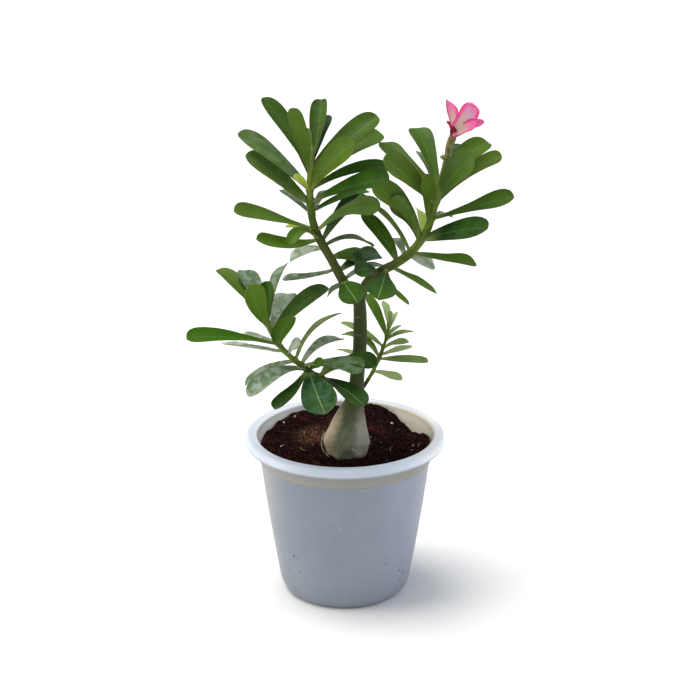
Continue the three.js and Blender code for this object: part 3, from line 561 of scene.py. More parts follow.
def marks(under, spots, colour, strength):
    for seen, size in spots:
        apart = vector_of(tree, "DISTANCE", place, on_the_pot(seen) * MM)
        edge = scaled(tree, fine, RAGGED_BY, apart)
        mark = between(tree, edge, (size + 1.1) * MM, (size + 0.4) * MM)
        under = paint(tree, under, mark, colour, strength)
    return under


dust = between(tree, grain(tree, place, 320, 5, 0.7), 0.66, 0.74)
white = paint(tree, white, dust, (0.13, 0.13, 0.12), 0.4)
white = marks(white, DARK_SPECKS, (0.06, 0.06, 0.07), 0.8)
white = marks(white, PALE_FLECKS, (0.55, 0.57, 0.58), 0.3)
scuff_ends = [on_the_pot(seen) * MM for seen in (SCUFF_FROM, SCUFF_TO)]
scuff_half = math.dist(*scuff_ends) / 2
off_scuff = vector_of(tree, "SUBTRACT", place, sum(scuff_ends) / 2)
off_scuff = vector_of(tree, "LENGTH", vector_of(tree, "MULTIPLY", off_scuff, SCUFF_SQUEEZE))
scuff = between(tree, off_scuff, scuff_half, scuff_half * 0.2)
scuff = times(tree, scuff, between(tree, grain(tree, place, 300, 4), 0.35, 0.65))
white = paint(tree, white, scuff, (0.45, 0.46, 0.46), 0.4)

rough = scaled(tree, streak, 0.25, 0.28)
low = raised(tree, broad, 0.0012, 0.4, raised(tree, fine, 0.00012, 0.5))
surface(tree, Base_Color=white, Roughness=rough, Normal=low, Specular_IOR_Level=0.45)
finish_piece(pot, "pot_shell", "pot_plastic", plastic, ["pot"], sharp=40)

# %% [markdown]
# The soil is damp coco peat. Close up it is a heap of crumbs with short fibres between them, higher
# behind the trunk and lower at the right. A fine square sheet is rounded to the pot's mouth, its points
# are lifted by a rule of mounds with noise on top, and its rim is pulled down inside the pot.

# %% The soil's bed
SOIL_LEVEL = 155.0
BED_RADIUS = WELL_RADIUS - 0.3
BED_FOOT = COLLAR_FOOT - 4
SOIL_MOUNDS = [
    (15, 75, 5, 1800),
    (88, -4, 5, 900),
    (-50, 65, 2, 900),
    (-3, -35, 3.5, 700),
    (64, 47, -11, 700),
    (36, 74, 4, 350),
]
SHEET_CUTS = 210


def soil_height(x, y):
    top = SOIL_LEVEL + 0.06 * y + 0.01 * x
    for at_x, at_y, rise, spread in SOIL_MOUNDS:
        top = top + rise * np.exp(-((x - at_x) ** 2 + (y - at_y) ** 2) / spread)
    lumps = 1.1 * np.sin(x / 6.1 + 1.3 * np.sin(y / 8.3)) * np.cos(y / 7.4 + 0.7)
    crumbs = 0.7 * np.sin(x / 2.9 + y / 3.7) * np.cos(x / 4.3 - y / 3.1)
    return top + lumps + crumbs


def rough_height(x, y):
    lumps = noise.fractal(Vector((x, y, 3)) / 7, 0.9, 2.1, 3) * 1.0
    crumbs = noise.noise(Vector((x, y, 9)) / 1.9) * 1.1
    return lumps + crumbs


bpy.ops.mesh.primitive_grid_add(x_subdivisions=SHEET_CUTS, y_subdivisions=SHEET_CUTS, size=2)
soil = bpy.context.object
sheet = coordinates(soil) * MM
wide = BED_RADIUS * sheet[:, 0] * np.sqrt(1 - sheet[:, 1] ** 2 / 2)
deep = BED_RADIUS * sheet[:, 1] * np.sqrt(1 - sheet[:, 0] ** 2 / 2)
extra = np.array([rough_height(x, y) for x, y in zip(wide, deep)])
tall = np.minimum(soil_height(wide, deep) + extra, POT_HEIGHT - 1.5)
reshape(soil, np.stack([wide, deep, np.maximum(tall, COLLAR_FOOT + 3)], axis=-1))
pick(soil)
bpy.ops.object.mode_set(mode="EDIT")
bpy.ops.mesh.select_mode(type="EDGE")
bpy.ops.mesh.select_all(action="DESELECT")
bpy.ops.mesh.select_non_manifold()
bpy.ops.mesh.extrude_region_move(TRANSFORM_OT_translate={"value": (0, 0, -0.02)})
bpy.ops.transform.resize(value=(0.97, 0.97, 0), center_override=(0, 0, BED_FOOT * MM))
bpy.ops.mesh.edge_face_add()
bpy.ops.object.mode_set(mode="OBJECT")
face_outwards(soil)
print("soil lies between", tall.min().round(1), "and", tall.max().round(1), "mm up")

# %% [markdown]
# Peat is almost black where it is damp and rusty where it has dried, as it has left of the trunk. The
# colour is noise in two sizes: the small one parts the clods from the gaps between them, and the broad one
# says where it is dry. The rusty patch is added by its distance from one place, and noise makes it ragged.

# %% The soil's finish
RUSTY_PLACE = (-31, 14, 155)
RUSTY_EDGES = (0.042, 0.024)
DAMP_GLOSS = 0.06


def peat_colour(tree, place):
    broad = grain(tree, place, 45, 4)
    small = grain(tree, place, 420, 4, 0.65)
    apart = vector_of(tree, "DISTANCE", place, [c * MM for c in RUSTY_PLACE])
    clod = between(tree, small, 0.42, 0.62)
    dark = blend_of(tree, clod, (0.002, 0.0005, 0.0005), (0.026, 0.007, 0.006))
    dry = blend_of(tree, clod, (0.012, 0.003, 0.002), (0.075, 0.018, 0.011))
    brown = blend_of(tree, clod, (0.018, 0.007, 0.005), (0.150, 0.068, 0.046))
    colour = blend_of(tree, between(tree, broad, 0.5, 0.72), dark, dry)
    patch = between(tree, scaled(tree, broad, 0.03, apart), *RUSTY_EDGES)
    return blend_of(tree, patch, colour, brown), small


peat, tree = new_finish("peat")
place = object_place(tree)
colour, small = peat_colour(tree, place)
low = raised(tree, small, 0.0014, 0.9)
surface(tree, Base_Color=colour, Roughness=0.93, Normal=low, Specular_IOR_Level=DAMP_GLOSS)
finish_piece(soil, "soil_bed", "soil", peat, ["soil"], sharp=75)

# %% [markdown]
# Loose crumbs, husk fibres and grains lie on the bed, and each kind is one shape many times over. The shape
# is modelled once, and then copied in mesh code, because so many operator calls would take minutes. The
# copies are one mesh, and every copy has its own number, which its finish may read.

# %% One shape, many copies
chance = random.Random(41)


def low_ball(name, splits, seed):
    bpy.ops.object.select_all(action="DESELECT")
    bpy.ops.mesh.primitive_ico_sphere_add(subdivisions=splits, radius=1)
    ball = bpy.context.object
    ball.name = name
    bpy.ops.object.mode_set(mode="EDIT")
    bpy.ops.mesh.select_all(action="SELECT")
    bpy.ops.transform.vertex_random(offset=0.22, seed=seed)
    bpy.ops.object.mode_set(mode="OBJECT")
    points = coordinates(ball) * MM
    faces = [tuple(face.vertices) for face in ball.data.polygons]
    bpy.data.objects.remove(ball)
    return points, faces


def any_turn():
    turn = np.linalg.qr(np.array([[chance.gauss(0, 1) for _ in range(3)] for _ in range(3)]))[0]
    return turn if np.linalg.det(turn) > 0 else -turn


def copies_as_one(name, shape, faces, moved):
    """One mesh of many copies of a shape. Each item of moved is a copy's points and its number."""
    count = len(shape)
    points = np.concatenate([points for points, _ in moved]) * MM
    all_faces = [tuple(v + i * count for v in face) for i in range(len(moved)) for face in faces]
    mesh = bpy.data.meshes.new(name)
    mesh.from_pydata(points.tolist(), [], all_faces)
    own = mesh.attributes.new("own_number", "FLOAT", "POINT")
    own.data.foreach_set("value", np.repeat([number for _, number in moved], count).astype(np.float32))
    piece = bpy.data.objects.new(name, mesh)
    bpy.context.collection.objects.link(piece)
    return piece


BED_REACH = WELL_RADIUS - 1.5


def on_the_bed():
    while True:
        x, y = chance.uniform(-BED_REACH, BED_REACH), chance.uniform(-BED_REACH, BED_REACH)
        if x * x + y * y < BED_REACH ** 2:
            return np.array([x, y, soil_height(x, y) + rough_height(x, y)])


# %% [markdown]
# A crumb is a low ball with its points pushed in and out. Each copy is turned, stretched and set half into
# the bed, most of them small. Their finish is the bed's, and some are rustier.

# %% Loose crumbs
CRUMBS = 1500
ball, ball_faces = low_ball("crumb", 1, 3)
moved = []
for _ in range(CRUMBS):
    size = 0.5 + 1.3 * chance.random() ** 2
    spread = np.array([chance.uniform(0.7, 1.5), chance.uniform(0.7, 1.2), chance.uniform(0.5, 1)])
    moved.append(((ball * spread * size) @ any_turn().T + on_the_bed(), chance.random()))
crumbs = copies_as_one("soil_crumbs", ball, ball_faces, moved)

crumb_finish, tree = new_finish("peat_crumb")
place = object_place(tree)
colour, small = peat_colour(tree, place)
own = own_value(tree, "own_number")
colour = paint(tree, colour, between(tree, own, 0.7, 1.0), (0.055, 0.020, 0.012))
low = raised(tree, small, 0.0008, 0.8)
surface(tree, Base_Color=colour, Roughness=0.9, Normal=low, Specular_IOR_Level=DAMP_GLOSS)
finish_piece(crumbs, "soil_crumbs", "soil", crumb_finish, sharp=20)

# %% [markdown]
# Short husk fibres stick out between the crumbs, and three longer pale ones lie where the photograph shows
# them. Each is a thin thread of three sides that bends a little, made ring by ring in mesh code.

# %% Husk fibres
FIBRES = 240
FIBRE_BENDS = 6
LONG_FIBRES = [((393, 424), (391, 435)), ((421, 421), (419, 439)), ((300, 441), (306, 436))]
LONG_FIBRE_DEPTHS = (-12, -22)
LONG_FIBRE_RADIUS = 0.34
LONG_FIBRE_LIFT = 1.5


def thread(points, radius, sides=3):
    """The ring points of a thin thread along a row of points."""
    points = np.asarray(points, float)
    heading = unit(np.gradient(points, axis=0))
    side = unit(np.cross(heading, [0.31, 0.17, 0.93]))
    front = np.cross(side, heading)
    turns = 2 * np.pi * np.arange(sides) / sides
    thin = radius * np.linspace(1, 0.5, len(points))
    ring = np.cos(turns)[None, :, None] * side[:, None] + np.sin(turns)[None, :, None] * front[:, None]
    return (points[:, None] + thin[:, None, None] * ring).reshape(-1, 3)


def thread_faces(rings, sides=3):
    faces = [tuple(range(sides))[::-1], tuple(range((rings - 1) * sides, rings * sides))]
    for i in range(rings - 1):
        for j in range(sides):
            k = (j + 1) % sides
            faces.append((i * sides + j, i * sides + k, (i + 1) * sides + k, (i + 1) * sides + j))
    return faces


def fibre(start, towards, length, bend):
    t = np.linspace(0, 1, FIBRE_BENDS)[:, None]
    side = unit(np.cross(towards, [0, 0, 1.0]))
    rise = np.array([0, 0, 1.0]) * bend * t * (1 - t)
    return start + towards * t * length + side * bend * np.sin(3 * t) + rise


threads = []
for _ in range(FIBRES):
    turn = chance.uniform(0, 2 * math.pi)
    towards = unit(np.array([math.cos(turn), math.sin(turn), chance.uniform(-0.1, 0.35)]))
    line = fibre(on_the_bed() + (0, 0, 0.3), towards, chance.uniform(3, 8), chance.uniform(-1.2, 1.2))
    threads.append((thread(line, chance.uniform(0.1, 0.2)), 0.55 * chance.random()))
for ends in LONG_FIBRES:
    first, last = (place_at_depth(seen, depth) for seen, depth in zip(ends, LONG_FIBRE_DEPTHS))
    for point in (first, last):
        point[2] = soil_height(point[0], point[1]) + LONG_FIBRE_LIFT
    line = fibre(first, unit(last - first), math.dist(first, last), 1.4)
    threads.append((thread(line, LONG_FIBRE_RADIUS), 1.0))
fibres = copies_as_one("soil_fibres", threads[0][0], thread_faces(FIBRE_BENDS), threads)
face_outwards(fibres)

husk, tree = new_finish("husk_fibre")
own = own_value(tree, "own_number")
shade_of = grain(tree, object_place(tree), 300)
colour = blend_of(tree, own, (0.045, 0.018, 0.010), (0.42, 0.33, 0.20))
colour = paint(tree, colour, between(tree, shade_of, 0.3, 0.8), (0.06, 0.03, 0.02))
surface(tree, Base_Color=colour, Roughness=0.8)
finish_piece(fibres, "soil_fibres", "soil", husk, sharp=60)

# %% [markdown]
# White grains of perlite keep the peat open. A few lie on top where the photograph shows them, and others
# lie round the back. They are made as the crumbs are, with more faces, since they catch the eye.

# %% Perlite
PERLITE_SEEN = [
    ((295, 417), 1.1), ((284, 423), 1.1), ((392, 424), 1.6), ((281, 447), 0.9),
    ((413, 446), 1.0), ((324, 427), 0.8), ((412, 451), 0.8), ((336, 430), 0.6), ((304, 433), 0.5),
]
LOOSE_GRAINS = 14


def meet_the_bed(seen):
    direction = sight_line(seen)
    far = np.arange(1400, 1900, 0.5)[:, None]
    line = EYE + unit(direction) * far
    above = line[:, 2] - soil_height(line[:, 0], line[:, 1])
    return line[np.argmax(above < 0)]


grain_ball, grain_faces = low_ball("perlite", 2, 5)
moved = []
for seen, size in PERLITE_SEEN:
    spot = meet_the_bed(seen) + (0, 0, 0.7)
    moved.append(((grain_ball * (size, size * 0.9, size * 0.8)) @ any_turn().T + spot, chance.random()))
for _ in range(LOOSE_GRAINS):
    size = chance.uniform(0.25, 0.6)
    moved.append(((grain_ball * size) @ any_turn().T + on_the_bed(), chance.random()))
perlite = copies_as_one("perlite", grain_ball, grain_faces, moved)

stone, tree = new_finish("perlite_grain")
pits = grain(tree, object_place(tree), 1600, 3)
colour = blend_of(tree, between(tree, pits, 0.3, 0.6), (0.45, 0.40, 0.35), (0.82, 0.80, 0.76))
surface(tree, Base_Color=colour, Roughness=0.85, Normal=raised(tree, pits, 0.0003, 0.8))
finish_piece(perlite, "perlite", "soil", stone, sharp=40)

# %% [markdown]
# The trunk is one swollen, fleshy body, the plant's store of water. It narrows into a neck, runs up as a
# slim column and forks, and two thinner stems leave it low down. Its middle and its width are read off the
# photograph at each height, and below the soil it tapers away.

# %% The trunk's places
TRUNK_DEPTH = -25
TRUNK_TOP_DEPTH = -20
TRUNK_UNDER_SOIL = [(122, 6), (134, 15), (145, 27), (155, 37)]
TRUNK_SEEN = [
    ((347, 446), 42),
    ((347, 439), 44.5),
    ((348.2, 431), 40.5),
    ((349.7, 421), 33),
    ((351.6, 412), 26.5),
    ((353.8, 404), 20.5),
    ((355.4, 395), 16.8),
    ((356.4, 385), 14.8),
    ((357.6, 372), 14),
    ((359.6, 350), 13.6),
    ((360.2, 328), 13.5),
    ((360, 311), 12.8),
    ((359.2, 299), 12),
]

# %% [markdown]
# Each stem is a row of places with depths, a radius at each of them, and a foot: the length that belongs to
# the trunk and is covered by its bark.

# %% The stems' places
STEMS = {
    "upper_left": {
        "points": [((358, 299), -20), ((345, 284), -17), ((335, 266), -14), ((327, 252), -11),
                   ((319, 238), -8), ((313, 222), -5), ((310.5, 205), -3), ((310, 185), -1),
                   ((311, 165), 0), ((311.5, 150), 1)],
        "radii": [5.2, 4.7, 4.3, 4.1, 3.9, 3.7, 3.5, 3.2, 2.7, 1.9],
        "foot": 12,
    },
    "upper_right": {
        "points": [((360, 299), -20), ((368, 281), -21), ((381, 271), -23), ((395, 264), -25),
                   ((408, 255), -27), ((419, 243), -29), ((428, 228), -31), ((433, 212), -32),
                   ((438, 197), -33), ((441, 182), -34), ((445, 162), -34)],
        "radii": [4.9, 4.4, 4.2, 4.2, 4.2, 4.0, 3.6, 3.3, 2.9, 2.5, 2.0],
        "foot": 12,
    },
    "lower_left": {
        "points": [((355, 394), -25), ((342, 387.5), -29), ((327, 381), -33), ((312, 373), -37),
                   ((297, 362), -41), ((284, 350.5), -44), ((275, 339), -47), ((269, 328), -49),
                   ((266.5, 320), -50)],
        "radii": [3.6, 3.3, 3.0, 2.8, 2.7, 2.6, 2.5, 2.2, 1.8],
        "foot": 14,
    },
    "rear": {
        "points": [((357, 396), -22), ((366, 383), -10), ((373, 371), -2), ((379, 358), 4), ((384, 345), 8),
                   ((388, 332), 11), ((389, 322), 13)],
        "radii": [2.2, 2.0, 1.8, 1.7, 1.5, 1.3, 1.1],
        "foot": 16,
    },
}


def route_through(places):
    """A curve through places of the picture, each with its depth behind the pot's axis."""
    return Route([place_at_depth(seen, depth) for seen, depth in places])


stem_routes = {name: route_through(stem["points"]) for name, stem in STEMS.items()}

# %% [markdown]
# Each limb is drawn as a curve with a round bevel and its own radius at every point, and then turned into
# a mesh.


# %% Drawing a limb
def trunk_sections():
    foot = place_at_depth(TRUNK_SEEN[0][0], TRUNK_DEPTH)
    sections = [(np.array([foot[0], foot[1], up]), width / 2) for up, width in TRUNK_UNDER_SOIL]
    for i, (at, width) in enumerate(TRUNK_SEEN):
        depth = TRUNK_DEPTH + (TRUNK_TOP_DEPTH - TRUNK_DEPTH) * i / (len(TRUNK_SEEN) - 1)
        sections.append((place_at_depth(at, depth), width / 2))
    return sections


def draw_limb(name, route, radius_at, start, end, steps, roundness):
    shares = np.linspace(start, end, steps)
    data = bpy.data.curves.new(name, "CURVE")
    data.dimensions = "3D"
    data.bevel_depth = 1
    data.bevel_resolution = roundness
    data.use_fill_caps = True
    spline = data.splines.new("POLY")
    spline.points.add(steps - 1)
    for point, place, radius in zip(spline.points, route.at(shares), radius_at(shares)):
        point.co = (*(place * MM), 1)
        point.radius = radius * MM
    limb = bpy.data.objects.new(name, data)
    bpy.context.collection.objects.link(limb)
    pick(limb)
    bpy.ops.object.convert(target="MESH")
    return bpy.context.object


# %% [markdown]
# The trunk's own curve gives its radius at every height, evened out over a short stretch, so that no ring
# shows where two of its spans meet. The four stems start inside it and end a short way out, where the leafy
# stems take over.

# %% The trunk's limbs
TRUNK_STEPS = 400
EVENED_OVER = 27
FOOT_PAST = 0.6
sections = trunk_sections()
trunk_route = Route([point for point, _ in sections])
trunk_shares = np.linspace(0, 1, TRUNK_STEPS)
trunk_line = trunk_route.at(trunk_shares)
radii = [radius for _, radius in sections]
trunk_radii = np.interp(trunk_shares, trunk_route.shares[::STEPS_PER_SPAN], radii)
window = np.hanning(EVENED_OVER) / np.hanning(EVENED_OVER).sum()
half_window = EVENED_OVER // 2
trunk_radii[half_window:-half_window] = np.convolve(trunk_radii, window, "valid")


def trunk_radius(share):
    return np.interp(share, trunk_shares, trunk_radii)


def stem_radius(name):
    return lambda share: along(STEMS[name]["radii"], share)


limbs = [draw_limb("trunk_column", trunk_route, trunk_radius, 0, 1, steps=160, roundness=22)]
for name, stem in STEMS.items():
    route = stem_routes[name]
    end = (stem["foot"] + FOOT_PAST) / route.length
    limbs.append(draw_limb(name, route, stem_radius(name), 0, end, steps=14, roundness=8))
trunk = join("trunk_and_forks", limbs)
print("trunk is", round(trunk_route.length), "mm long")

# %% [markdown]
# Where limbs meet, flesh runs smoothly from one to the other. The Remesh modifier turns the five tubes
# into one skin, and the Smooth modifier lets the creases at the forks run out.

# %% One skin for the trunk
VOXEL = 0.75
SMOOTHING = {"factor": 0.5, "iterations": 7}
modify(trunk, "REMESH", mode="VOXEL", voxel_size=VOXEL * MM)
modify(trunk, "SMOOTH", **SMOOTHING)

# %% [markdown]
# The swollen foot has blunt shoulders where the roots go down, a flat bulge to the left, creases between
# the shoulders and fine wrinkles all over. These are moves of the mesh, along the direction away from the
# trunk's own middle, so that they show on its outline as well. Each point also keeps a mark, flank, which
# runs from -1 on the trunk's left side to 1 on its right.

# %% The trunk's flesh
FOOT_BULGES = [
    ((325, 441), -25, 1.6, 6),
    ((368, 441), -25, 1.0, 6),
    ((337, 459), -44, 3.2, 5),
    ((358, 456), -42, 2.4, 5),
    ((348, 456), -46, -3, 4),
]


def smoothstep(value, low, high):
    t = np.clip((value - low) / (high - low), 0, 1)
    return t * t * (3 - 2 * t)


places = coordinates(trunk)
height = places[:, 2]
middle = np.stack([np.interp(height, trunk_line[:, 2], trunk_line[:, k]) for k in range(2)], axis=-1)
off = places[:, :2] - middle
reach = np.linalg.norm(off, axis=1)
angle = np.arctan2(off[:, 0], -off[:, 1])
expected = np.interp(height, trunk_line[:, 2], trunk_radii)
own_body = smoothstep(reach / expected, 1.5, 1.15)
shoulder = 0.075 * (1 - smoothstep(height, 150, 190))
relief = shoulder * np.cos(5 * angle + 0.6) + 0.4 * shoulder * np.cos(3 * angle + 2)
push = relief * expected * own_body
for seen, depth, rise, spread in FOOT_BULGES:
    spot = place_at_depth(seen, depth)
    apart_by = np.linalg.norm(places - spot, axis=1)
    push += rise * np.exp(-(apart_by / spread) ** 2) * own_body
wrinkle = np.array([noise.noise(Vector((x / 9, y / 9, z / 2.2))) for x, y, z in places])
lump = np.array([noise.noise(Vector((x, y, z)) / 8) for x, y, z in places])
swollen = 0.25 + 0.75 * (1 - smoothstep(height, 175, 215))
push += (0.16 * wrinkle + 0.5 * lump) * swollen
places[:, :2] += off / np.maximum(reach, 1e-6)[:, None] * push[:, None]
reshape(trunk, places)
flank = trunk.data.attributes.new("flank", "FLOAT", "POINT")
flank.data.foreach_set("value", np.clip(off[:, 0] / expected * own_body, -1, 1).astype(np.float32))
print("trunk is pushed by", push.min().round(2), "to", push.max().round(2), "mm")

# %% [markdown]
# The skin of the trunk is waxy and thin. Its left flank is warm beige, partly its own colour and partly
# painted light from the left, and its right flank is paler grey, partly painted light too. The middle is
# grey-green with pale scars across it, and the neck and column are dark olive. The flanks are found by the
# mark flank, and noise breaks up their edge so that no line shows.

# %% The bark
bark, tree = new_finish("bark")
place = object_place(tree)
_, _, z = parts_of(tree, place)
broad = grain(tree, place, 70, 4)
small = grain(tree, place, 380, 5, 0.65)
bands = grain(tree, place, 90, 4, 0.6, stretch=(1, 1, 5))
ridges = grain(tree, place, 130, 3, 0.5, stretch=(1, 1, 0.2))
skin = blend_of(tree, between(tree, broad, 0.35, 0.65), (0.095, 0.115, 0.070), (0.185, 0.195, 0.135))
skin = paint(tree, skin, between(tree, ridges, 0.5, 0.7), (0.075, 0.085, 0.050), 0.5)
across = own_value(tree, "flank")
for pattern in (small, broad):
    across = scaled(tree, math_of(tree, "SUBTRACT", pattern, 0.5), 0.5, across)
# Left flank: beige bark with painted light from the left. Right flank: paler grey, partly painted light.
skin = paint(tree, skin, between(tree, across, -0.5, -1.0), (0.55, 0.44, 0.30), 0.9)
skin = paint(tree, skin, between(tree, across, 0.2, 0.6), (0.34, 0.33, 0.28))
low_part = between(tree, z, 0.176, 0.160)
skin = paint(tree, skin, low_part, (0.20, 0.20, 0.12), 0.3)
mottle = times(tree, between(tree, grain(tree, place, 210, 4, 0.6), 0.54, 0.66), low_part)
skin = paint(tree, skin, mottle, (0.46, 0.44, 0.36), 0.5)
skin = paint(tree, skin, between(tree, z, 0.180, 0.214), (0.036, 0.050, 0.012))
skin = paint(tree, skin, between(tree, bands, 0.6, 0.7), (0.42, 0.38, 0.26), 0.3)
skin = paint(tree, skin, between(tree, small, 0.62, 0.72), (0.10, 0.06, 0.03), 0.5)
low = raised(tree, bands, 0.0014, 0.6, raised(tree, small, 0.0004, 0.6))
surface(tree, Base_Color=skin, Roughness=0.55, Normal=low, Specular_IOR_Level=0.15)
finish_piece(trunk, "trunk_and_forks", "bark", bark, ["trunk"], sharp=70)

# %% [markdown]
# A few dried root threads stand off the trunk's foot: a loop at the left and short stubs at the right. Each
# is a thin thread with its ends in the trunk or the soil, drawn through listed places.

# %% Root threads
ROOT_THREADS = [
    ([((325.5, 432), -25), ((322.3, 437), -27), ((321.2, 443), -30), ((323, 450), -35),
      ((329, 457), -40)], 0.5),
    ([((365, 437.6), -24), ((368.5, 437.4), -25), ((371.6, 436.6), -26)], 0.45),
    ([((365, 440), -26), ((368.5, 440.4), -27), ((371.2, 441), -28)], 0.4),
    ([((365, 443), -28), ((368.6, 443), -29), ((371.4, 443.8), -30)], 0.4),
    ([((352, 448.5), -51), ((355, 450.6), -52.5), ((358.5, 449.6), -51)], 0.35),
]
ROOT_BENDS = 9
ROOT_SIDES = 5

moved = []
for points, radius in ROOT_THREADS:
    line = route_through(points).at(np.linspace(0, 1, ROOT_BENDS))
    moved.append((thread(line, radius, ROOT_SIDES), chance.random()))
root_threads = copies_as_one("root_threads", moved[0][0], thread_faces(ROOT_BENDS, ROOT_SIDES), moved)
face_outwards(root_threads)
thread_finish, tree = new_finish("root_thread")
shade_of = grain(tree, object_place(tree), 350, 3)
colour = blend_of(tree, between(tree, shade_of, 0.3, 0.7), (0.34, 0.28, 0.18), (0.70, 0.62, 0.47))
surface(tree, Base_Color=colour, Roughness=0.7)
finish_piece(root_threads, "root_threads", "bark", thread_finish, sharp=60)

# %% [markdown]
# A desert rose leaf is thick and waxy: narrow at the stalk, widest near its round end, with a pale midrib
# that is a groove above and a keel below. It is modelled once, as a flat square grid with the thickness
# that Solidify gives it. Every leaf is a copy, with its own mesh, bent along its own spine in mesh code,
# because a hundred hand-bent copies would be the same work a hundred times. A mark on the blade's upper
# side tells the finish which face is which.

# %% One flat leaf
def flat_blade(name, columns, rows):
    bpy.ops.object.select_all(action="DESELECT")
    bpy.ops.mesh.primitive_grid_add(x_subdivisions=columns, y_subdivisions=rows, size=2)
    blade = bpy.context.object
    blade.name = name
    modify(blade, "SOLIDIFY", thickness=1, offset=0)
    upper = blade.data.attributes.new("upper_side", "FLOAT", "POINT")
    upper.data.foreach_set("value", (coordinates(blade)[:, 2] > 0).astype(np.float32))
    return blade


leaf_blank = flat_blade("leaf_blank", 16, 42)
narrow_blank = flat_blade("narrow_blank", 10, 26)
print("one flat leaf has", len(leaf_blank.data.polygons), "faces")

# %% [markdown]
# A leaf grows from the stem's middle, leans to its tip and may arch between them. Its upper face is turned
# about its length, its halves fold up along the midrib, and its edge waves a little. Its outline is one of
# a few, each given by how it swells from the stalk and how blunt its end is.

# %% A leaf's outline
BLADE_THICKNESS = 0.9
EDGE_THICKNESS = 0.45
STALK = 3.0
NARROW_STALK = 1.3
TIP_SHARE = 0.14
VEINS = 13
ROUND_LEAF = (1.05, 6)
OVAL_LEAF = (1.25, 3)
BROAD_LEAF = (0.75, 5)
POINTED_LEAF = (0.9, 2.2)
SPOON_LEAF = (1.6, 5)
FLAT_LEAF = (0.9, 12)
PETAL = (0.75, 5)
WIDE_PETAL = (0.5, 3)
LANCE_PETAL = (0.7, 1.6)


def leaf(name, root, tip, length, width, near=False, roll=45, through=None, arch=0.06, fold=20, twist=0,
         wave=0, shape=ROUND_LEAF, end=TIP_SHARE):
    return dict(locals())


def outline(share, shape):
    swell, blunt = shape
    widest = (swell / (swell + blunt / 2)) ** (1 / blunt)
    top = widest ** swell * math.sqrt(1 - widest ** blunt)
    return share ** swell * np.sqrt(np.maximum(0, 1 - share ** blunt)) / top


# %% [markdown]
# The words in a leaf's name also say its tone, most of which is painted light: how light it is, partly its
# own colour and partly painted light and shade; how yellow, a painted glow where the sun comes through it;
# and how blue, a painted reflection of the sky in the wax. The finish reads these three from the leaf.

# %% The tones of leaves and petals
TONES = {
    "lime": (1.0, 1.0, 0.0),
    "bright": (0.06, 0.95, 0.0),
    "vivid": (0.22, 1.0, 0.0),
    "pale": (1.0, 0.3, 0.2),
    "silver": (1.0, 0.0, 1.0),
    "mottled": (0.6, 0.0, 0.9),
    "bluish": (0.05, 0.0, 0.7),
    "grey": (0.45, 0.2, 0.5),
    "olive": (0.1, 0.75, 0.0),
    "dark": (0.0, 0.05, 0.15),
    "deep": (0.25, 0.25, 0.02),
    "dull": (0.45, 0.1, 0.3),
    "misty": (0.3, 0.0, 0.6),
    "hazy": (0.32, 0.0, 0.9),
    "hot": (0.1, 0.7, 0.1),
    "crimson": (0.0, 0.3, 1.0),
    "full": (0.8, 0.1, 0.0),
}
NO_TONE = (0.35, 0.2, 0.05)
TONE_LUCK = 0.12

# %% [markdown]
# A leaf's spine is a curve with three points: its root on the stem, the tip at its real length from there,
# and a middle, which is either seen in the picture or lifted by its arch. Its face is turned from the
# viewer by its roll.


# %% The spine of a leaf
def turned(vector, axis, angle):
    """A vector turned about an axis, both of length 1 or lists of such."""
    angle = np.asarray(angle)[..., None]
    beside = np.cross(axis, vector)
    onto = axis * np.sum(axis * vector, axis=-1, keepdims=True)
    return vector * np.cos(angle) + beside * np.sin(angle) + onto * (1 - np.cos(angle))


def nearest_on(route, seen):
    points = route.at(np.linspace(0, 1, 121))
    return points[np.argmin(np.linalg.norm(seen_at(points) - np.array(seen), axis=1))]


def spine_of(route, row):
    start = nearest_on(route, row["root"])
    end = place_at_length(row["tip"], start, row["length"], row["near"])
    middle = (start + end) / 2
    chord = unit(end - start)
    if row["through"]:
        middle = place_at_depth(row["through"], middle[1])
    else:
        up = np.array([0, 0, 1.0])
        middle = middle + unit(up - chord * chord[2]) * row["arch"] * row["length"]
    to_eye = EYE - middle
    to_eye = unit(to_eye - chord * (to_eye @ chord))
    turn = math.radians(row["roll"]) * (1 if chord[0] < 0 else -1)
    return start, 2 * middle - 0.5 * start - 0.5 * end, end, turned(to_eye, chord, turn)


# %% [markdown]
# Each point of the blade keeps its share of the length and its side, from -1 to 1, with the points crowded
# towards the midrib. From these come its place on the spine, how far out it lies, and its height over the
# leaf's face: the fold, the waves, the ripple and droop of the edge, the groove or keel of the midrib, and
# the side veins. What differs by luck from leaf to leaf is drawn from the leaf's own name and root.


# %% Bending a leaf
CROWDING = 1.3
WAVE_TURNS = 3.2
RIPPLE_TURNS = (9, 13)
DROOP = (0.2, 1.0)
GROOVE_DEPTH = 0.35
GROOVE_WIDTH = 0.9
KEEL_WIDTH = 1.1
VEIN_RISE = 0.05
VEIN_LEAN = 0.32


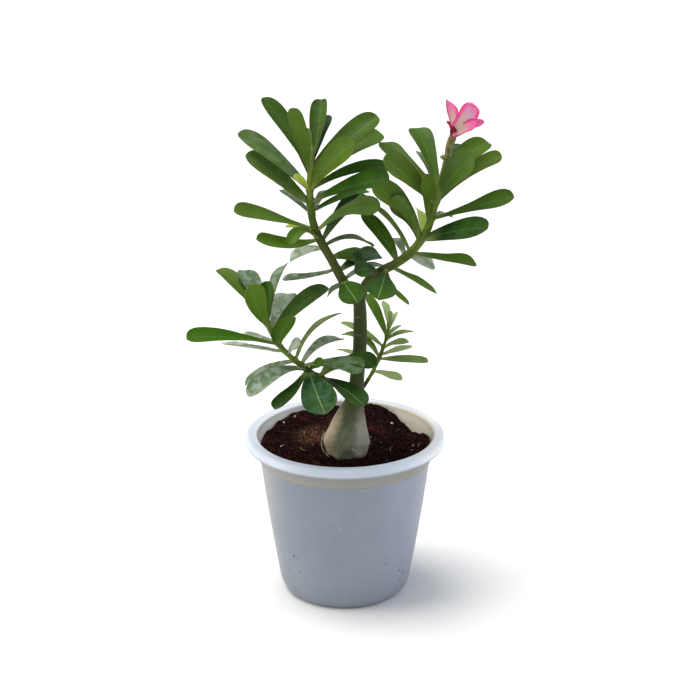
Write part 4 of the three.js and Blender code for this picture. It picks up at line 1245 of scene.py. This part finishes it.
def bend_blade(blank, route, row, stalk=STALK, ripple=0.5, keel=0.8):
    start, control, end, face = spine_of(route, row)
    flat = coordinates(blank) * MM
    luck = random.Random(row["name"] + str(row["root"]))
    side = np.sign(flat[:, 0]) * np.abs(flat[:, 0]) ** CROWDING
    share = np.sin((flat[:, 1] + 1) / 2 * math.pi / 2)
    layer = np.sign(flat[:, 2])
    s = share[:, None]
    point = start * (1 - s) ** 2 + 2 * control * s * (1 - s) + end * s ** 2
    heading = unit(2 * (1 - s) * (control - start) + 2 * s * (end - control))
    normal = unit(face - heading * (heading @ face)[:, None])
    normal = turned(normal, heading, np.radians(row["twist"] * share))
    across = np.cross(heading, normal)
    width = row["width"]
    end_rounding = np.sqrt(np.maximum(0, 1 - share ** 16))
    narrow = np.maximum(stalk / 2 * (1 - share), row["end"] * width / 2 * share * end_rounding)
    half = narrow + width / 2 * (1 - row["end"] * share) * outline(share, row["shape"])
    lift = math.radians(row["fold"]) * np.abs(side)
    waves = row["wave"] * np.sin(WAVE_TURNS * math.pi * share + side) * np.abs(side) * share
    phase = luck.uniform(0, 2 * math.pi)
    turns = luck.uniform(*RIPPLE_TURNS) * share + 1.5 * side + phase
    waves += ripple * np.sin(turns) * side ** 2 * share
    droop = luck.uniform(*DROOP) * side ** 2 * smoothstep(share, 0.6, 1)
    aside = np.abs(side) * half
    body = np.interp(share, [0, 1 / 3, 1], [stalk, BLADE_THICKNESS, BLADE_THICKNESS])
    thick = EDGE_THICKNESS + (body - EDGE_THICKNESS) * (1 - np.abs(side) ** 2)
    groove = -GROOVE_DEPTH * np.exp(-(aside / GROOVE_WIDTH) ** 2) * smoothstep(share, 0.1, 0.3) * (1 - share)
    ridge = -keel * np.exp(-(aside / KEEL_WIDTH) ** 2) * smoothstep(share, 0.02, 0.15) * (1 - share) ** 0.7
    veins = VEIN_RISE * np.cos(2 * math.pi * (VEINS * share - VEIN_LEAN * aside))
    veins *= smoothstep(aside, 0.8, 2.5) * (1 - side ** 2)
    height = np.abs(side) * half * np.sin(lift) + waves - droop + layer * thick / 2
    height += np.where(layer > 0, groove + veins, ridge - 0.6 * veins)
    point = point + across * (side * half * np.cos(lift))[:, None] + normal * height[:, None]
    return point, luck


def grow_leaf(blank, route, row, **settings):
    points, luck = bend_blade(blank, route, row, **settings)
    mesh = blank.data.copy()
    copy = bpy.data.objects.new(row["name"].replace(" ", "_"), mesh)
    bpy.context.collection.objects.link(copy)
    reshape(copy, points)
    tone = next((TONES[word] for word in row["name"].split() if word in TONES), NO_TONE)
    mixed = [min(1, max(0, value + luck.uniform(-TONE_LUCK, TONE_LUCK))) for value in tone]
    ribbed = 1.0 if "ribbed" in row["name"] else 0.0
    colour = mesh.attributes.new("leaf_tone", "FLOAT_COLOR", "POINT")
    colour.data.foreach_set("color", np.tile([*mixed, ribbed], len(mesh.vertices)))
    return copy


# %% [markdown]
# Each leaf is one row: its name, where it leaves the stem and where its tip is seen, its real length and
# width, and what is special about it. The rows are the same as in the part's source.

# %% The leaves, row by row
UPPER_LEFT_LEAVES = [
    leaf("back left", (309, 170), (263.3, 97.5), 86, 21, roll=38, arch=0.03, shape=BROAD_LEAF, end=0.4),
    leaf("left of the tip", (310, 174), (290.3, 108.5), 68, 21, near=True, roll=40, arch=0,
         shape=BROAD_LEAF, end=0.3),
    leaf("upright folded", (314, 161), (321.3, 99.5), 66, 23, roll=20, fold=42,
         through=(318.6, 128), shape=BROAD_LEAF, end=0.35),
    leaf("young", (311, 152), (307.5, 128), 25, 5, roll=20),
    leaf("upper right", (312, 170), (378, 116.5), 83, 28, roll=38, arch=0.01, shape=BROAD_LEAF),
    leaf("behind upper right", (311, 180), (382, 134), 92, 26, roll=34, shape=BROAD_LEAF, end=0.3),
    leaf("front right", (311, 190), (355.8, 143.2), 72, 28, near=True, roll=40, shape=BROAD_LEAF, end=0.45),
    leaf("dull upper left", (310, 190), (238.5, 132.5), 88, 22, roll=42, arch=-0.015,
         through=(273, 157.5), shape=BROAD_LEAF, end=0.3),
    leaf("front left", (310, 205), (246.3, 153.8), 78, 24, near=True, roll=42, arch=0.01,
         shape=BROAD_LEAF, end=0.3),
    leaf("grey behind left", (310, 214), (281, 190), 54, 12, roll=60, arch=0),
    leaf("left", (315, 229), (234, 210), 84, 22, near=True, roll=48, through=(273, 218.3),
         shape=SPOON_LEAF, end=0.3),
    leaf("olive twisted left", (317, 240), (256.5, 239), 70, 22, near=True, roll=50,
         through=(288, 245), shape=OVAL_LEAF),
    leaf("dark right", (311, 203), (389.2, 179.2), 86, 26, near=True, roll=46, through=(349.5, 186.8)),
    leaf("olive behind right", (310, 190), (391, 168.5), 90, 19, roll=44, through=(352, 170.5)),
    leaf("arching right", (318, 231), (379, 209.5), 76, 22, near=True, roll=42, through=(350, 210),
         shape=ROUND_LEAF),
    leaf("bluish behind right", (322, 243), (363, 194), 70, 22, roll=42),
    leaf("mottled left", (336, 269), (283, 278), 60, 14, roll=64, through=(308, 277)),
    leaf("silver left", (325, 249), (290, 259), 48, 15, roll=40),
    leaf("dark ribbed over the fork", (343, 281), (358, 303), 56, 28, near=True, roll=10,
         through=(349, 290)),
    leaf("olive in the fork", (331, 258), (366, 263), 54, 22, roll=32, through=(350, 256)),
    leaf("bluish in the fork", (338, 272), (379, 254), 68, 21, roll=30),
    leaf("grey thin in the fork", (323, 246), (373, 246), 60, 15, roll=70, through=(349, 238)),
    leaf("silver in the fork", (342, 280), (384, 265), 60, 14, roll=60),
    leaf("grey small", (346, 285), (328, 295), 34, 12, roll=60),
    leaf("lime behind left", (315, 236), (286, 226), 42, 11, roll=56),
    leaf("lime young left", (310, 192), (294, 176), 28, 9, near=True, roll=40),
    leaf("dull beside the tip", (308, 178), (298, 139), 46, 18, roll=36, arch=0),
    leaf("olive fold over the left", (317, 242), (289, 244), 44, 13, near=True, roll=52,
         through=(303, 231)),
    leaf("olive between right", (312, 212), (368, 191), 82, 14, roll=50, through=(343, 197)),
    leaf("mottled young right", (313, 216), (326, 190), 38, 10, roll=40),
    leaf("misty behind upright", (314, 166), (329.3, 115), 58, 12, roll=30, arch=0.02),
]

UPPER_RIGHT_LEAVES = [
    leaf("behind upper left", (439, 190), (384, 142.5), 84, 23, roll=48, through=(404, 164),
         shape=BROAD_LEAF, end=0.35),
    leaf("upper left", (436, 205), (383.5, 160), 76, 28, near=True, roll=42, arch=0.02,
         through=(407, 176.5), shape=BROAD_LEAF, end=0.3),
    leaf("drooping left", (419, 240), (372, 188), 80, 26, near=True, roll=40, through=(400, 205),
         shape=BROAD_LEAF),
    leaf("upright left", (440, 190), (415.5, 128.3), 70, 24, roll=30, through=(427, 151),
         shape=ROUND_LEAF, end=0.3),
    leaf("grey behind", (438, 195), (419, 152), 66, 16, roll=50),
    leaf("upright right", (440, 203), (474, 156.5), 66, 30, near=True, roll=30, shape=FLAT_LEAF, end=0.45),
    leaf("behind upper right", (441, 185), (487.5, 142), 70, 26, roll=32, shape=BROAD_LEAF, end=0.3),
    leaf("bluish dark behind", (442, 180), (461, 144.3), 52, 15, roll=40),
    leaf("upper right", (437, 203), (502, 157), 76, 19, near=True, roll=44, arch=0.02,
         through=(472, 171.5), shape=FLAT_LEAF, end=0.6),
    leaf("deep far right", (432, 219), (514, 197), 84, 23, near=True, roll=46, arch=0.02,
         through=(472, 208.2), shape=SPOON_LEAF),
    leaf("dark lower right", (424, 241), (486.5, 229.2), 78, 25, near=True, roll=42, arch=0.04,
         fold=10, through=(463, 230), shape=LANCE_PETAL, end=0.03),
    leaf("grey behind right", (430, 222), (450, 216), 56, 12, roll=50),
    leaf("olive wavy lower right", (413, 254), (476, 263), 72, 19, roll=56, arch=0, wave=0.8,
         through=(446, 259.3), shape=ROUND_LEAF, end=0.15),
    leaf("olive edge on", (391, 267), (436.3, 293), 62, 17, roll=70, arch=0, through=(411, 278.5), end=0.3),
    leaf("olive edge on below", (384, 268), (408, 304), 50, 15, near=True, roll=70, through=(391, 288)),
    leaf("dark ribbed front", (387, 268), (378, 299), 66, 32, near=True, roll=4,
         through=(382.7, 283), shape=SPOON_LEAF),
    leaf("dark front", (378, 271), (355, 272), 52, 18, near=True, roll=30),
    leaf("silver small", (409, 254.5), (433.5, 262.5), 40, 17, roll=36, arch=0, through=(421, 261.5)),
    leaf("deep left", (396, 260), (362, 213.5), 62, 18, roll=36, through=(382.6, 237.5),
         shape=POINTED_LEAF, end=0.04),
    leaf("narrow arch", (408, 250), (365, 203), 72, 18, roll=78, through=(390, 221.5)),
    leaf("lime behind", (421, 236), (421, 211), 44, 17, roll=40),
    leaf("in front of the stem", (431, 225), (424.7, 175), 58, 19, near=True, roll=40, shape=BROAD_LEAF),
    leaf("silver in the arch", (405, 256), (394, 238), 40, 12, roll=30),
    leaf("drooping front", (418, 242), (389, 202), 60, 21, near=True, roll=40, through=(407, 217)),
]

LOWER_LEFT_LEAVES = [
    leaf("upper left", (268, 325), (218.5, 269.5), 82, 22, roll=45, shape=BROAD_LEAF, end=0.3),
    leaf("hazy behind", (264, 325), (243, 270.5), 68, 22, roll=30),
    leaf("bright upright", (268, 328), (249.5, 285.5), 56, 27, near=True, roll=20, fold=30,
         through=(256.5, 306), shape=FLAT_LEAF, end=0.5),
    leaf("bright folded", (268, 326), (271, 282.5), 50, 20, near=True, roll=40, fold=30,
         shape=FLAT_LEAF, end=0.45),
    leaf("mottled upright", (268, 324), (286.5, 264), 72, 16, roll=52, through=(275.5, 284),
         shape=BROAD_LEAF),
    leaf("silver behind", (271, 331), (289, 294), 62, 24, roll=30, through=(280, 311)),
    leaf("right", (273, 335), (327, 287), 76, 22, roll=40, shape=BROAD_LEAF),
    leaf("olive pointed front", (280, 348), (295.5, 317.5), 48, 22, near=True, roll=24, fold=48,
         through=(282, 333), shape=POINTED_LEAF, end=0.03),
    leaf("bright long left", (277, 346), (186.5, 338), 94, 22.5, near=True, roll=50,
         through=(233, 337.5), shape=SPOON_LEAF, end=0.2),
    leaf("silver edge on", (284, 353), (222.5, 343.5), 72, 14, roll=76, through=(252, 347.5)),
    leaf("silver behind long left", (276, 343), (243, 334), 52, 10, roll=40, through=(258, 338)),
    leaf("pale arching right", (296, 360), (341, 313), 76, 13, roll=66, through=(312, 331)),
    leaf("silver small", (288, 354), (300, 343), 36, 13, near=True, roll=50),
    leaf("silver pink edged", (304, 362), (342, 339.5), 58, 20, roll=58, through=(319, 346)),
    leaf("misty over the trunk", (305, 362), (361.8, 371), 64, 24, near=True, roll=46,
         through=(338, 364.5)),
    leaf("dark over the trunk", (318, 376), (375, 366), 64, 20, near=True, roll=48, through=(350, 361)),
    leaf("olive below", (320, 378), (346, 368), 38, 20, roll=40, through=(332, 367.5)),
    leaf("small olive", (309, 371), (323, 362), 28, 11, near=True, roll=40),
    leaf("bluish ribbed front", (309, 371), (325, 414), 66, 36, near=True, roll=4,
         through=(315, 389), end=0.3),
    leaf("dark folded below", (307, 371), (275, 409), 64, 20, near=True, roll=44, fold=26,
         through=(293, 392)),
    leaf("dark ribbed lower right", (322, 379), (364, 406), 66, 24, near=True, roll=40),
    leaf("mottled lower left", (307, 370), (248, 396), 72, 20, near=True, roll=44, through=(279, 373)),
    leaf("mottled behind lower left", (296, 361), (245, 384), 68, 15, roll=50, through=(270, 369)),
]

REAR_LEAVES = [
    leaf("vivid upright", (386, 337), (366, 293), 52, 13, roll=40, through=(377.5, 316)),
    leaf("pale upright", (389, 326), (384, 301), 34, 9, roll=30),
    leaf("tip", (389, 328), (391, 311), 20, 6, roll=30),
    leaf("pale right", (388, 334), (397, 312), 34, 9, roll=45),
    leaf("narrow right", (386, 340), (413, 331.5), 38, 9, roll=60),
    leaf("right", (385, 349), (408, 342), 36, 9, near=True, roll=55),
    leaf("long right", (381, 360), (428, 361.5), 56, 13, near=True, roll=52, through=(402, 360)),
    leaf("small pale", (382, 356), (412, 346), 36, 9, roll=50, arch=0),
    leaf("pale low right", (373, 371), (401, 380), 44, 12, near=True, roll=50, through=(388, 375)),
    leaf("behind the trunk", (379, 358), (342, 334.5), 52, 12, roll=50, through=(364, 339.5)),
    leaf("higher behind the trunk", (384, 347), (341, 322), 58, 12, roll=52, through=(363, 332.5)),
    leaf("thin behind the trunk", (375, 367), (337, 349), 50, 8, roll=60),
    leaf("pale upper right", (387, 337), (401, 325.5), 22, 6, roll=50),
]

for row in REAR_LEAVES:
    row["shape"] = POINTED_LEAF

# %% [markdown]
# A leaf's finish reads its UV map, as how far a point is from the midrib and how far along the leaf. First
# comes its green, uneven by noise, then its tone: paler, yellower with a painted glow of sun through the
# blade, and bluer with a painted reflection of the sky in the wax.

# %% The green of a leaf
def on_the_leaf(tree):
    """Where a point is on its leaf: how far from the midrib, 0 to 1, and how far along from the stalk."""
    across, lengthwise, _ = parts_of(tree, add(tree, "UVMap", uv_map="UVMap").outputs[0])
    return math_of(tree, "ABSOLUTE", scaled(tree, across, 2.0, -1.0)), lengthwise


def tone_of(tree):
    """The three parts of a leaf's tone, and whether its midrib shows."""
    tone = add(tree, "Attribute", attribute_name="leaf_tone").outputs
    return (*add(tree, "SeparateColor", {0: tone["Color"]}).outputs, tone["Alpha"])


# LIME is the painted glow of sun through a leaf, SKY the painted reflection of the sky in its wax.
LIME = ((0.042, 0.130, 0.002), (0.560, 0.720, 0.080))
SKY = ((0.050, 0.120, 0.070), (0.46, 0.53, 0.43))


def leaf_green(tree, dark, fresh, pale):
    place = object_place(tree)
    light, yellow, blue, _ = tone_of(tree)
    green = blend_of(tree, between(tree, grain(tree, place, 38, 3), 0.35, 0.68), dark, fresh)
    # Paler by the tone's light: partly the leaf's own colour, partly painted light and shade.
    green = paint(tree, green, light, pale, 0.65)
    # Painted glow of sun coming through the blade, by the tone's yellow.
    green = paint(tree, green, yellow, blend_of(tree, light, *LIME), 0.85)
    # Painted reflection of the sky in the wax, in patches, by the tone's blue.
    sheen = between(tree, grain(tree, place, 120, 3), 0.42, 0.6)
    cover = scaled(tree, light, 0.4, scaled(tree, sheen, 0.75, 0.15))
    sky = math_of(tree, "MULTIPLY", blue, cover, clamp=True)
    return paint(tree, green, sky, blend_of(tree, light, *SKY))


# %% [markdown]
# Then come the marks that are at the same place on every leaf. The side veins lean forward from the midrib
# and fade towards the edge, the midrib is a pale line that thins out, the stalk is yellower, the underside
# is paler, and the edge and the tip are thin and brown. The wax is a low, even gloss, smoother above.

# %% The leaf finish
def leaf_finish(name, dark, fresh, pale, veins=VEINS, gloss=0.36):
    made, tree = new_finish(name)
    side, lengthwise = on_the_leaf(tree)
    upper = own_value(tree, "upper_side")
    ribbed = tone_of(tree)[-1]
    small = grain(tree, object_place(tree), 260, 4, 0.6)
    colour = leaf_green(tree, dark, fresh, pale)
    lean = scaled(tree, side, -0.09, lengthwise)
    wave = math_of(tree, "SINE", times(tree, lean, veins * 2 * math.pi))
    vein = times(tree, between(tree, wave, 0.86, 1.0), between(tree, side, 0.95, 0.3))
    colour = paint(tree, colour, vein, (0.20, 0.34, 0.10), 0.10)
    rib_width = scaled(tree, lengthwise, -0.09, 0.13)
    rib = between(tree, side, rib_width, times(tree, rib_width, 0.35))
    rib = times(tree, rib, scaled(tree, ribbed, 0.45, 0.2))
    colour = paint(tree, colour, rib, (0.26, 0.38, 0.14))
    colour = paint(tree, colour, between(tree, lengthwise, 0.16, 0.02), (0.24, 0.30, 0.10), 0.7)
    below = blend_of(tree, 0.35, colour, (0.15, 0.26, 0.10))
    colour = blend_of(tree, upper, below, colour)
    colour = paint(tree, colour, between(tree, side, 0.975, 0.998), (0.12, 0.05, 0.03), 0.75)
    tip = between(tree, scaled(tree, small, 0.03, lengthwise), 0.985, 1.01)
    colour = paint(tree, colour, tip, (0.09, 0.045, 0.02), 0.8)
    rough = scaled(tree, small, 0.14, gloss + 0.10)
    rough = scaled(tree, upper, -0.10, rough)
    low = raised(tree, wave, 0.00012, 0.25, raised(tree, small, 0.00012, 0.3))
    surface(tree, Base_Color=colour, Roughness=rough, Normal=low, Specular_IOR_Level=0.09)
    return made


OLD_GREENS = ((0.010, 0.038, 0.002), (0.028, 0.086, 0.003), (0.078, 0.172, 0.016))
YOUNG_GREENS = ((0.110, 0.210, 0.030), (0.200, 0.340, 0.075), (0.52, 0.60, 0.32))
waxy_leaf = leaf_finish("waxy_leaf", *OLD_GREENS)
young_leaf = leaf_finish("young_leaf", *YOUNG_GREENS, veins=9, gloss=0.42)

# %% [markdown]
# A stem is drawn as the trunk's limbs are. Its green skin is thicker where a leaf joins it, and below the
# leaves it keeps the scars of older ones. Both are moves of its mesh: a swelling at every leaf's root, and
# a low ring at each scar.

# %% Swellings and scars
SCAR_GAP = 5.5
SCAR_RISE = 0.16
ROOT_RISE = 0.9
ROOT_SPREAD = 2.6
STEM_SAMPLES = 300


def nearest_share(route, places, samples):
    """For each place, the share of the way along a curve at which the curve passes nearest to it."""
    line = route.at(np.linspace(0, 1, samples))
    nearest = np.argmin(((places[:, None] - line[None]) ** 2).sum(-1), axis=1)
    return line[nearest], nearest / (samples - 1)


def swell_at_roots(stem, route, rows):
    places = coordinates(stem)
    middle, share = nearest_share(route, places, STEM_SAMPLES)
    off = places - middle
    out = off / np.maximum(np.linalg.norm(off, axis=1, keepdims=True), 1e-6)
    push = np.zeros(len(places))
    for row in rows:
        start, control, _, _ = spine_of(route, row)
        spot = start + unit(control - start) * 2.5
        push += ROOT_RISE * np.exp(-(np.linalg.norm(places - spot, axis=1) / ROOT_SPREAD) ** 2)
    lengthwise = share * route.length
    scars = 2 * math.pi * lengthwise / SCAR_GAP + 1.5 * np.sin(lengthwise / 7)
    push += SCAR_RISE * np.cos(scars) ** 6
    push += 0.25 * np.array([noise.noise(Vector(p) / 4) for p in places])
    reshape(stem, places + out * push[:, None])


# %% [markdown]
# The skin of a stem is dark olive and woody low down, fresh green where the leaves are, and paler at its
# tip. Each point of its mesh keeps how green it is, and the finish turns that into colour.

# %% The stems' skin
stem_skin, tree = new_finish("stem_skin")
place = object_place(tree)
uneven = between(tree, grain(tree, place, 80, 3), 0.35, 0.65)
small = grain(tree, place, 420, 4, 0.6)
green = own_value(tree, "green")
woody = blend_of(tree, uneven, (0.030, 0.040, 0.007), (0.062, 0.078, 0.016))
fresh = blend_of(tree, uneven, (0.080, 0.130, 0.014), (0.150, 0.225, 0.028))
colour = paint(tree, woody, between(tree, green, 0.0, 0.8), fresh)
colour = paint(tree, colour, between(tree, green, 0.8, 1.0), (0.150, 0.215, 0.045))
colour = paint(tree, colour, between(tree, small, 0.6, 0.75), (0.09, 0.075, 0.03))
low = raised(tree, small, 0.0004, 0.5)
surface(tree, Base_Color=colour, Roughness=0.5, Normal=low, Specular_IOR_Level=0.12)

# %% [markdown]
# Each leafy stem is put together from its tube and its leaves, and becomes one piece with two finishes. It
# starts just inside the short foot that belongs to the trunk. Two numbers say at which shares of its length
# the green begins and is full. The rear shoot is young: its leaves are narrow, with a finish of their own.

# %% The leafy stems
INTO_FOOT = 0.5
STEM_TIP = (0.82, 0.98)


def leafy_stem(name, node, rows, green_at, slot="leaf", finish=waxy_leaf, blank=leaf_blank, stalk=STALK):
    route = stem_routes[name]
    start = (STEMS[name]["foot"] - INTO_FOOT) / route.length
    tube = draw_limb(name, route, stem_radius(name), start, 1, steps=110, roundness=10)
    swell_at_roots(tube, route, rows)
    _, share = nearest_share(route, coordinates(tube), samples=200)
    young = 0.8 * smoothstep(share, *green_at) + 0.2 * smoothstep(share, *STEM_TIP)
    green = tube.data.attributes.new("green", "FLOAT", "POINT")
    green.data.foreach_set("value", young.astype(np.float32))
    tube.data.materials.append(stem_skin)
    leaves = [grow_leaf(blank, route, row, stalk=stalk) for row in rows]
    for made in leaves:
        made.data.materials.append(finish)
    whole = join(name, [tube] + leaves)
    finish_piece(whole, name + "_leaves", slot, None, [node], sharp=45)


leafy_stem("upper_left", "stem_upper_left", UPPER_LEFT_LEAVES, (0.4, 0.75))
leafy_stem("upper_right", "stem_upper_right", UPPER_RIGHT_LEAVES, (0.15, 0.6))
leafy_stem("lower_left", "stem_lower_left", LOWER_LEFT_LEAVES, (0.25, 0.75))
young = ("young_leaf", young_leaf, narrow_blank, NARROW_STALK)
leafy_stem("rear", "shoot_rear", REAR_LEAVES, (0.1, 0.45), *young)

# %% [markdown]
# The flower is a funnel that opens into five lobes. It is seen from the side, past its prime, with one lobe
# up at the left, a broad one at the right, and a dark fold of the throat between them. Its tube swells and
# then closes to a point over the throat, where the lobes cover it. The tube is drawn as a limb, and the
# lobes are copies of the flat blade, wider at their ends and softer than a leaf.

# %% The flower's shape
FLOWER_DEPTH = -34
FLOWER_TUBE = [(445, 162), (446.8, 155.8), (449.2, 146.4), (452.4, 138), (454.6, 131), (456.8, 123.5)]
FLOWER_TUBE_RADII = [1.7, 2.5, 3.4, 3.9, 2.7, 0.6]
FLOWER_STALK = 6.0
MOUTH_SHARES = [0.72, 0.94]
MAROON_FROM = 474
MAROON_TO = 480
FLOWER_PETALS = [
    leaf("hot left", (455, 132), (447.4, 100.2), 34, 13.5, roll=22, twist=36, shape=OVAL_LEAF,
         through=(451.4, 114), end=0.03),
    leaf("full right", (455, 132), (473.2, 104.2), 34, 18.5, near=True, roll=8, shape=WIDE_PETAL,
         through=(466.5, 118), fold=8, end=0.68),
    leaf("hot back right", (455, 132), (484.4, 122), 31, 7, roll=30, twist=40, shape=POINTED_LEAF, end=0.03),
    leaf("hot lower lip", (453, 137), (477.8, 123), 29, 12, near=True, roll=34, shape=WIDE_PETAL,
         through=(466, 128.2), end=0.4),
    leaf("crimson left", (451, 139), (452.6, 126), 13, 4.5, near=True, roll=0, twist=10, shape=POINTED_LEAF,
         arch=0, end=0.03),
    leaf("crimson behind left", (455, 132), (448.6, 121.5), 15, 7, roll=40, shape=PETAL),
]
SEPALS = [
    leaf("left sepal", (446.2, 161), (442.6, 154.6), 8, 2.8, roll=50),
    leaf("right sepal", (446.4, 160.6), (451.4, 155.4), 8, 2.8, roll=50),
    leaf("front sepal", (446.4, 160.4), (447.4, 153), 8, 2.8, near=True, roll=20),
    leaf("young bud left", (445.6, 162), (440.5, 156.5), 9, 3, near=True, roll=30),
    leaf("young bud right", (446, 161.6), (452.6, 159.2), 9, 3, near=True, roll=30),
]

# %% [markdown]
# Each lobe is bent like a leaf, from the last stretch of the tube, with a softer rib and a stronger ripple.
# Of the calyx three small green sepals are seen, and two leaf buds stand beside them.

# %% Making the flower
flower_route = Route([place_at_depth(at, FLOWER_DEPTH) for at in FLOWER_TUBE])
flower_mouth = Route(flower_route.at(MOUTH_SHARES))
flower_radius = lambda share: along(FLOWER_TUBE_RADII, share)
tube = draw_limb("tube", flower_route, flower_radius, 0, 1, steps=40, roundness=14)
petals = []
for row in FLOWER_PETALS:
    petals.append(grow_leaf(leaf_blank, flower_mouth, row, stalk=FLOWER_STALK, ripple=0.8, keel=0.2))
sepals = []
for row in SEPALS:
    sepals.append(grow_leaf(narrow_blank, flower_route, row, stalk=NARROW_STALK, ripple=0.1, keel=0.3))

# %% [markdown]
# A lobe is pale by its base and deep pink at its edge, and an old one goes dusky along the edge. The two
# small lobes at the throat are painted crimson. The tube is olive with a brown grain along it, and painted
# maroon at its top, where it closes over the throat.

# %% The flower's finish
petal_finish, tree = new_finish("petal")
side, lengthwise = on_the_leaf(tree)
full, dusky, crimson, _ = tone_of(tree)
place = object_place(tree)
small = grain(tree, place, 300, 3)
long_grain = grain(tree, place, 500, 3, 0.5, stretch=(1, 1, 0.2))
out = math_of(tree, "MAXIMUM", side, times(tree, lengthwise, 0.96))
out = scaled(tree, small, 0.2, math_of(tree, "SUBTRACT", out, 0.1))
middle = blend_of(tree, full, (0.75, 0.16, 0.38), (0.60, 0.31, 0.50))
colour = blend_of(tree, between(tree, lengthwise, 0.2, 0.55), (0.58, 0.44, 0.36), middle)
colour = paint(tree, colour, between(tree, out, 0.45, 0.85), (0.78, 0.085, 0.30))
colour = paint(tree, colour, between(tree, out, 0.85, 1.0), (0.78, 0.040, 0.22))
edge = times(tree, dusky, between(tree, out, 0.8, 1.0))
colour = paint(tree, colour, edge, (0.40, 0.03, 0.10))
colour = paint(tree, colour, crimson, (0.240, 0.002, 0.034))
low = raised(tree, long_grain, 0.0004, 0.5)
surface(tree, Base_Color=colour, Roughness=0.55, Normal=low, Sheen_Weight=0.06, Specular_IOR_Level=0.2)

tube_finish, tree = new_finish("flower_tube")
place = object_place(tree)
long_grain = grain(tree, place, 400, 3, 0.5, stretch=(1, 1, 0.25))
maroon = between(tree, parts_of(tree, place)[2], MAROON_FROM * MM, MAROON_TO * MM)
colour = blend_of(tree, between(tree, long_grain, 0.35, 0.65), (0.085, 0.075, 0.018), (0.25, 0.21, 0.045))
colour = paint(tree, colour, maroon, (0.30, 0.02, 0.07))
surface(tree, Base_Color=colour, Roughness=0.5, Normal=raised(tree, long_grain, 0.0004, 0.5))
tube.data.materials.append(tube_finish)
for made in petals:
    made.data.materials.append(petal_finish)
for made in sepals:
    made.data.materials.append(young_leaf)
flower = join("flower", [tube] + petals + sepals)
finish_piece(flower, "flower_head", "petal", None, ["flower"], sharp=45)
for blank in (leaf_blank, narrow_blank):
    bpy.data.objects.remove(blank)

# %% [markdown]
# The picture is a plain one: a pale floor, a soft high light from the left and behind, as the photograph
# has, and a weak cool sky all round. Most of the blue sheen on the leaves is painted into their finish.

# %% The stage
bpy.ops.object.select_all(action="DESELECT")
bpy.ops.mesh.primitive_plane_add(size=24)
floor = bpy.context.object
floor.name = "studio_floor"
floor_finish, tree = new_finish("studio_floor")
soft = grain(tree, object_place(tree), 2, 2)
pale = blend_of(tree, between(tree, soft, 0.3, 0.7), (0.90, 0.90, 0.90), (0.92, 0.92, 0.92))
surface(tree, Base_Color=pale, Roughness=0.9)
floor.data.materials.append(floor_finish)
floor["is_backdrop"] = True

scene = bpy.context.scene
scene.view_settings.view_transform = "Standard"
world = bpy.data.worlds.new("sky")
scene.world = world
world.use_nodes = True
sky = world.node_tree.nodes["Background"]
sky.inputs["Color"].default_value = (0.93, 0.965, 1.0, 1)
sky.inputs["Strength"].default_value = 0.5


def add_light(name, kind, place, aim, energy, colour, size):
    data = bpy.data.lights.new(name, kind)
    data.energy = energy
    data.color = colour
    if kind == "SUN":
        data.angle = math.radians(size)
    else:
        data.size = size
    lamp = bpy.data.objects.new(name, data)
    lamp.location = place
    lamp.rotation_euler = (Vector(aim) - Vector(place)).to_track_quat("-Z", "Y").to_euler()
    scene.collection.objects.link(lamp)


add_light("high_sun", "SUN", (-0.6, 0.2, 2.6), (0, 0, 0.2), 2.6, (1.0, 0.98, 0.94), 40)
add_light("right_fill", "SUN", (2.0, -0.5, 0.9), (0, 0, 0.2), 0.65, (0.94, 0.96, 1.0), 70)
add_light("left_glow", "AREA", (-1.4, -0.3, 0.7), (0, 0, 0.25), 8, (1.0, 0.90, 0.78), 0.8)

# %% [markdown]
# The camera stands where the photograph was taken from, 1.6 m in front of the pot, and looks 19.5 degrees
# down. The lens follows from the focal length in pixels, for a sensor of any width.

# %% The camera
SENSOR = 36.0
camera_data = bpy.data.cameras.new("camera")
camera_data.sensor_width = SENSOR
camera_data.lens = SENSOR * FOCAL_LENGTH / PICTURE_WIDTH
camera = bpy.data.objects.new("camera", camera_data)
camera.location = EYE * MM
camera.rotation_euler = (math.pi / 2 - LOOKING_DOWN, 0, 0)
scene.collection.objects.link(camera)
scene.camera = camera

# %% [markdown]
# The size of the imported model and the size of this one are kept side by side, so that they can be compared
# after each run.

# %% The sizes, kept for comparison
sizes = {
    "frame": [list(corner) for corner in size_of_frame],
    "visual": [list(corner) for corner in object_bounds()],
}
print(sizes)
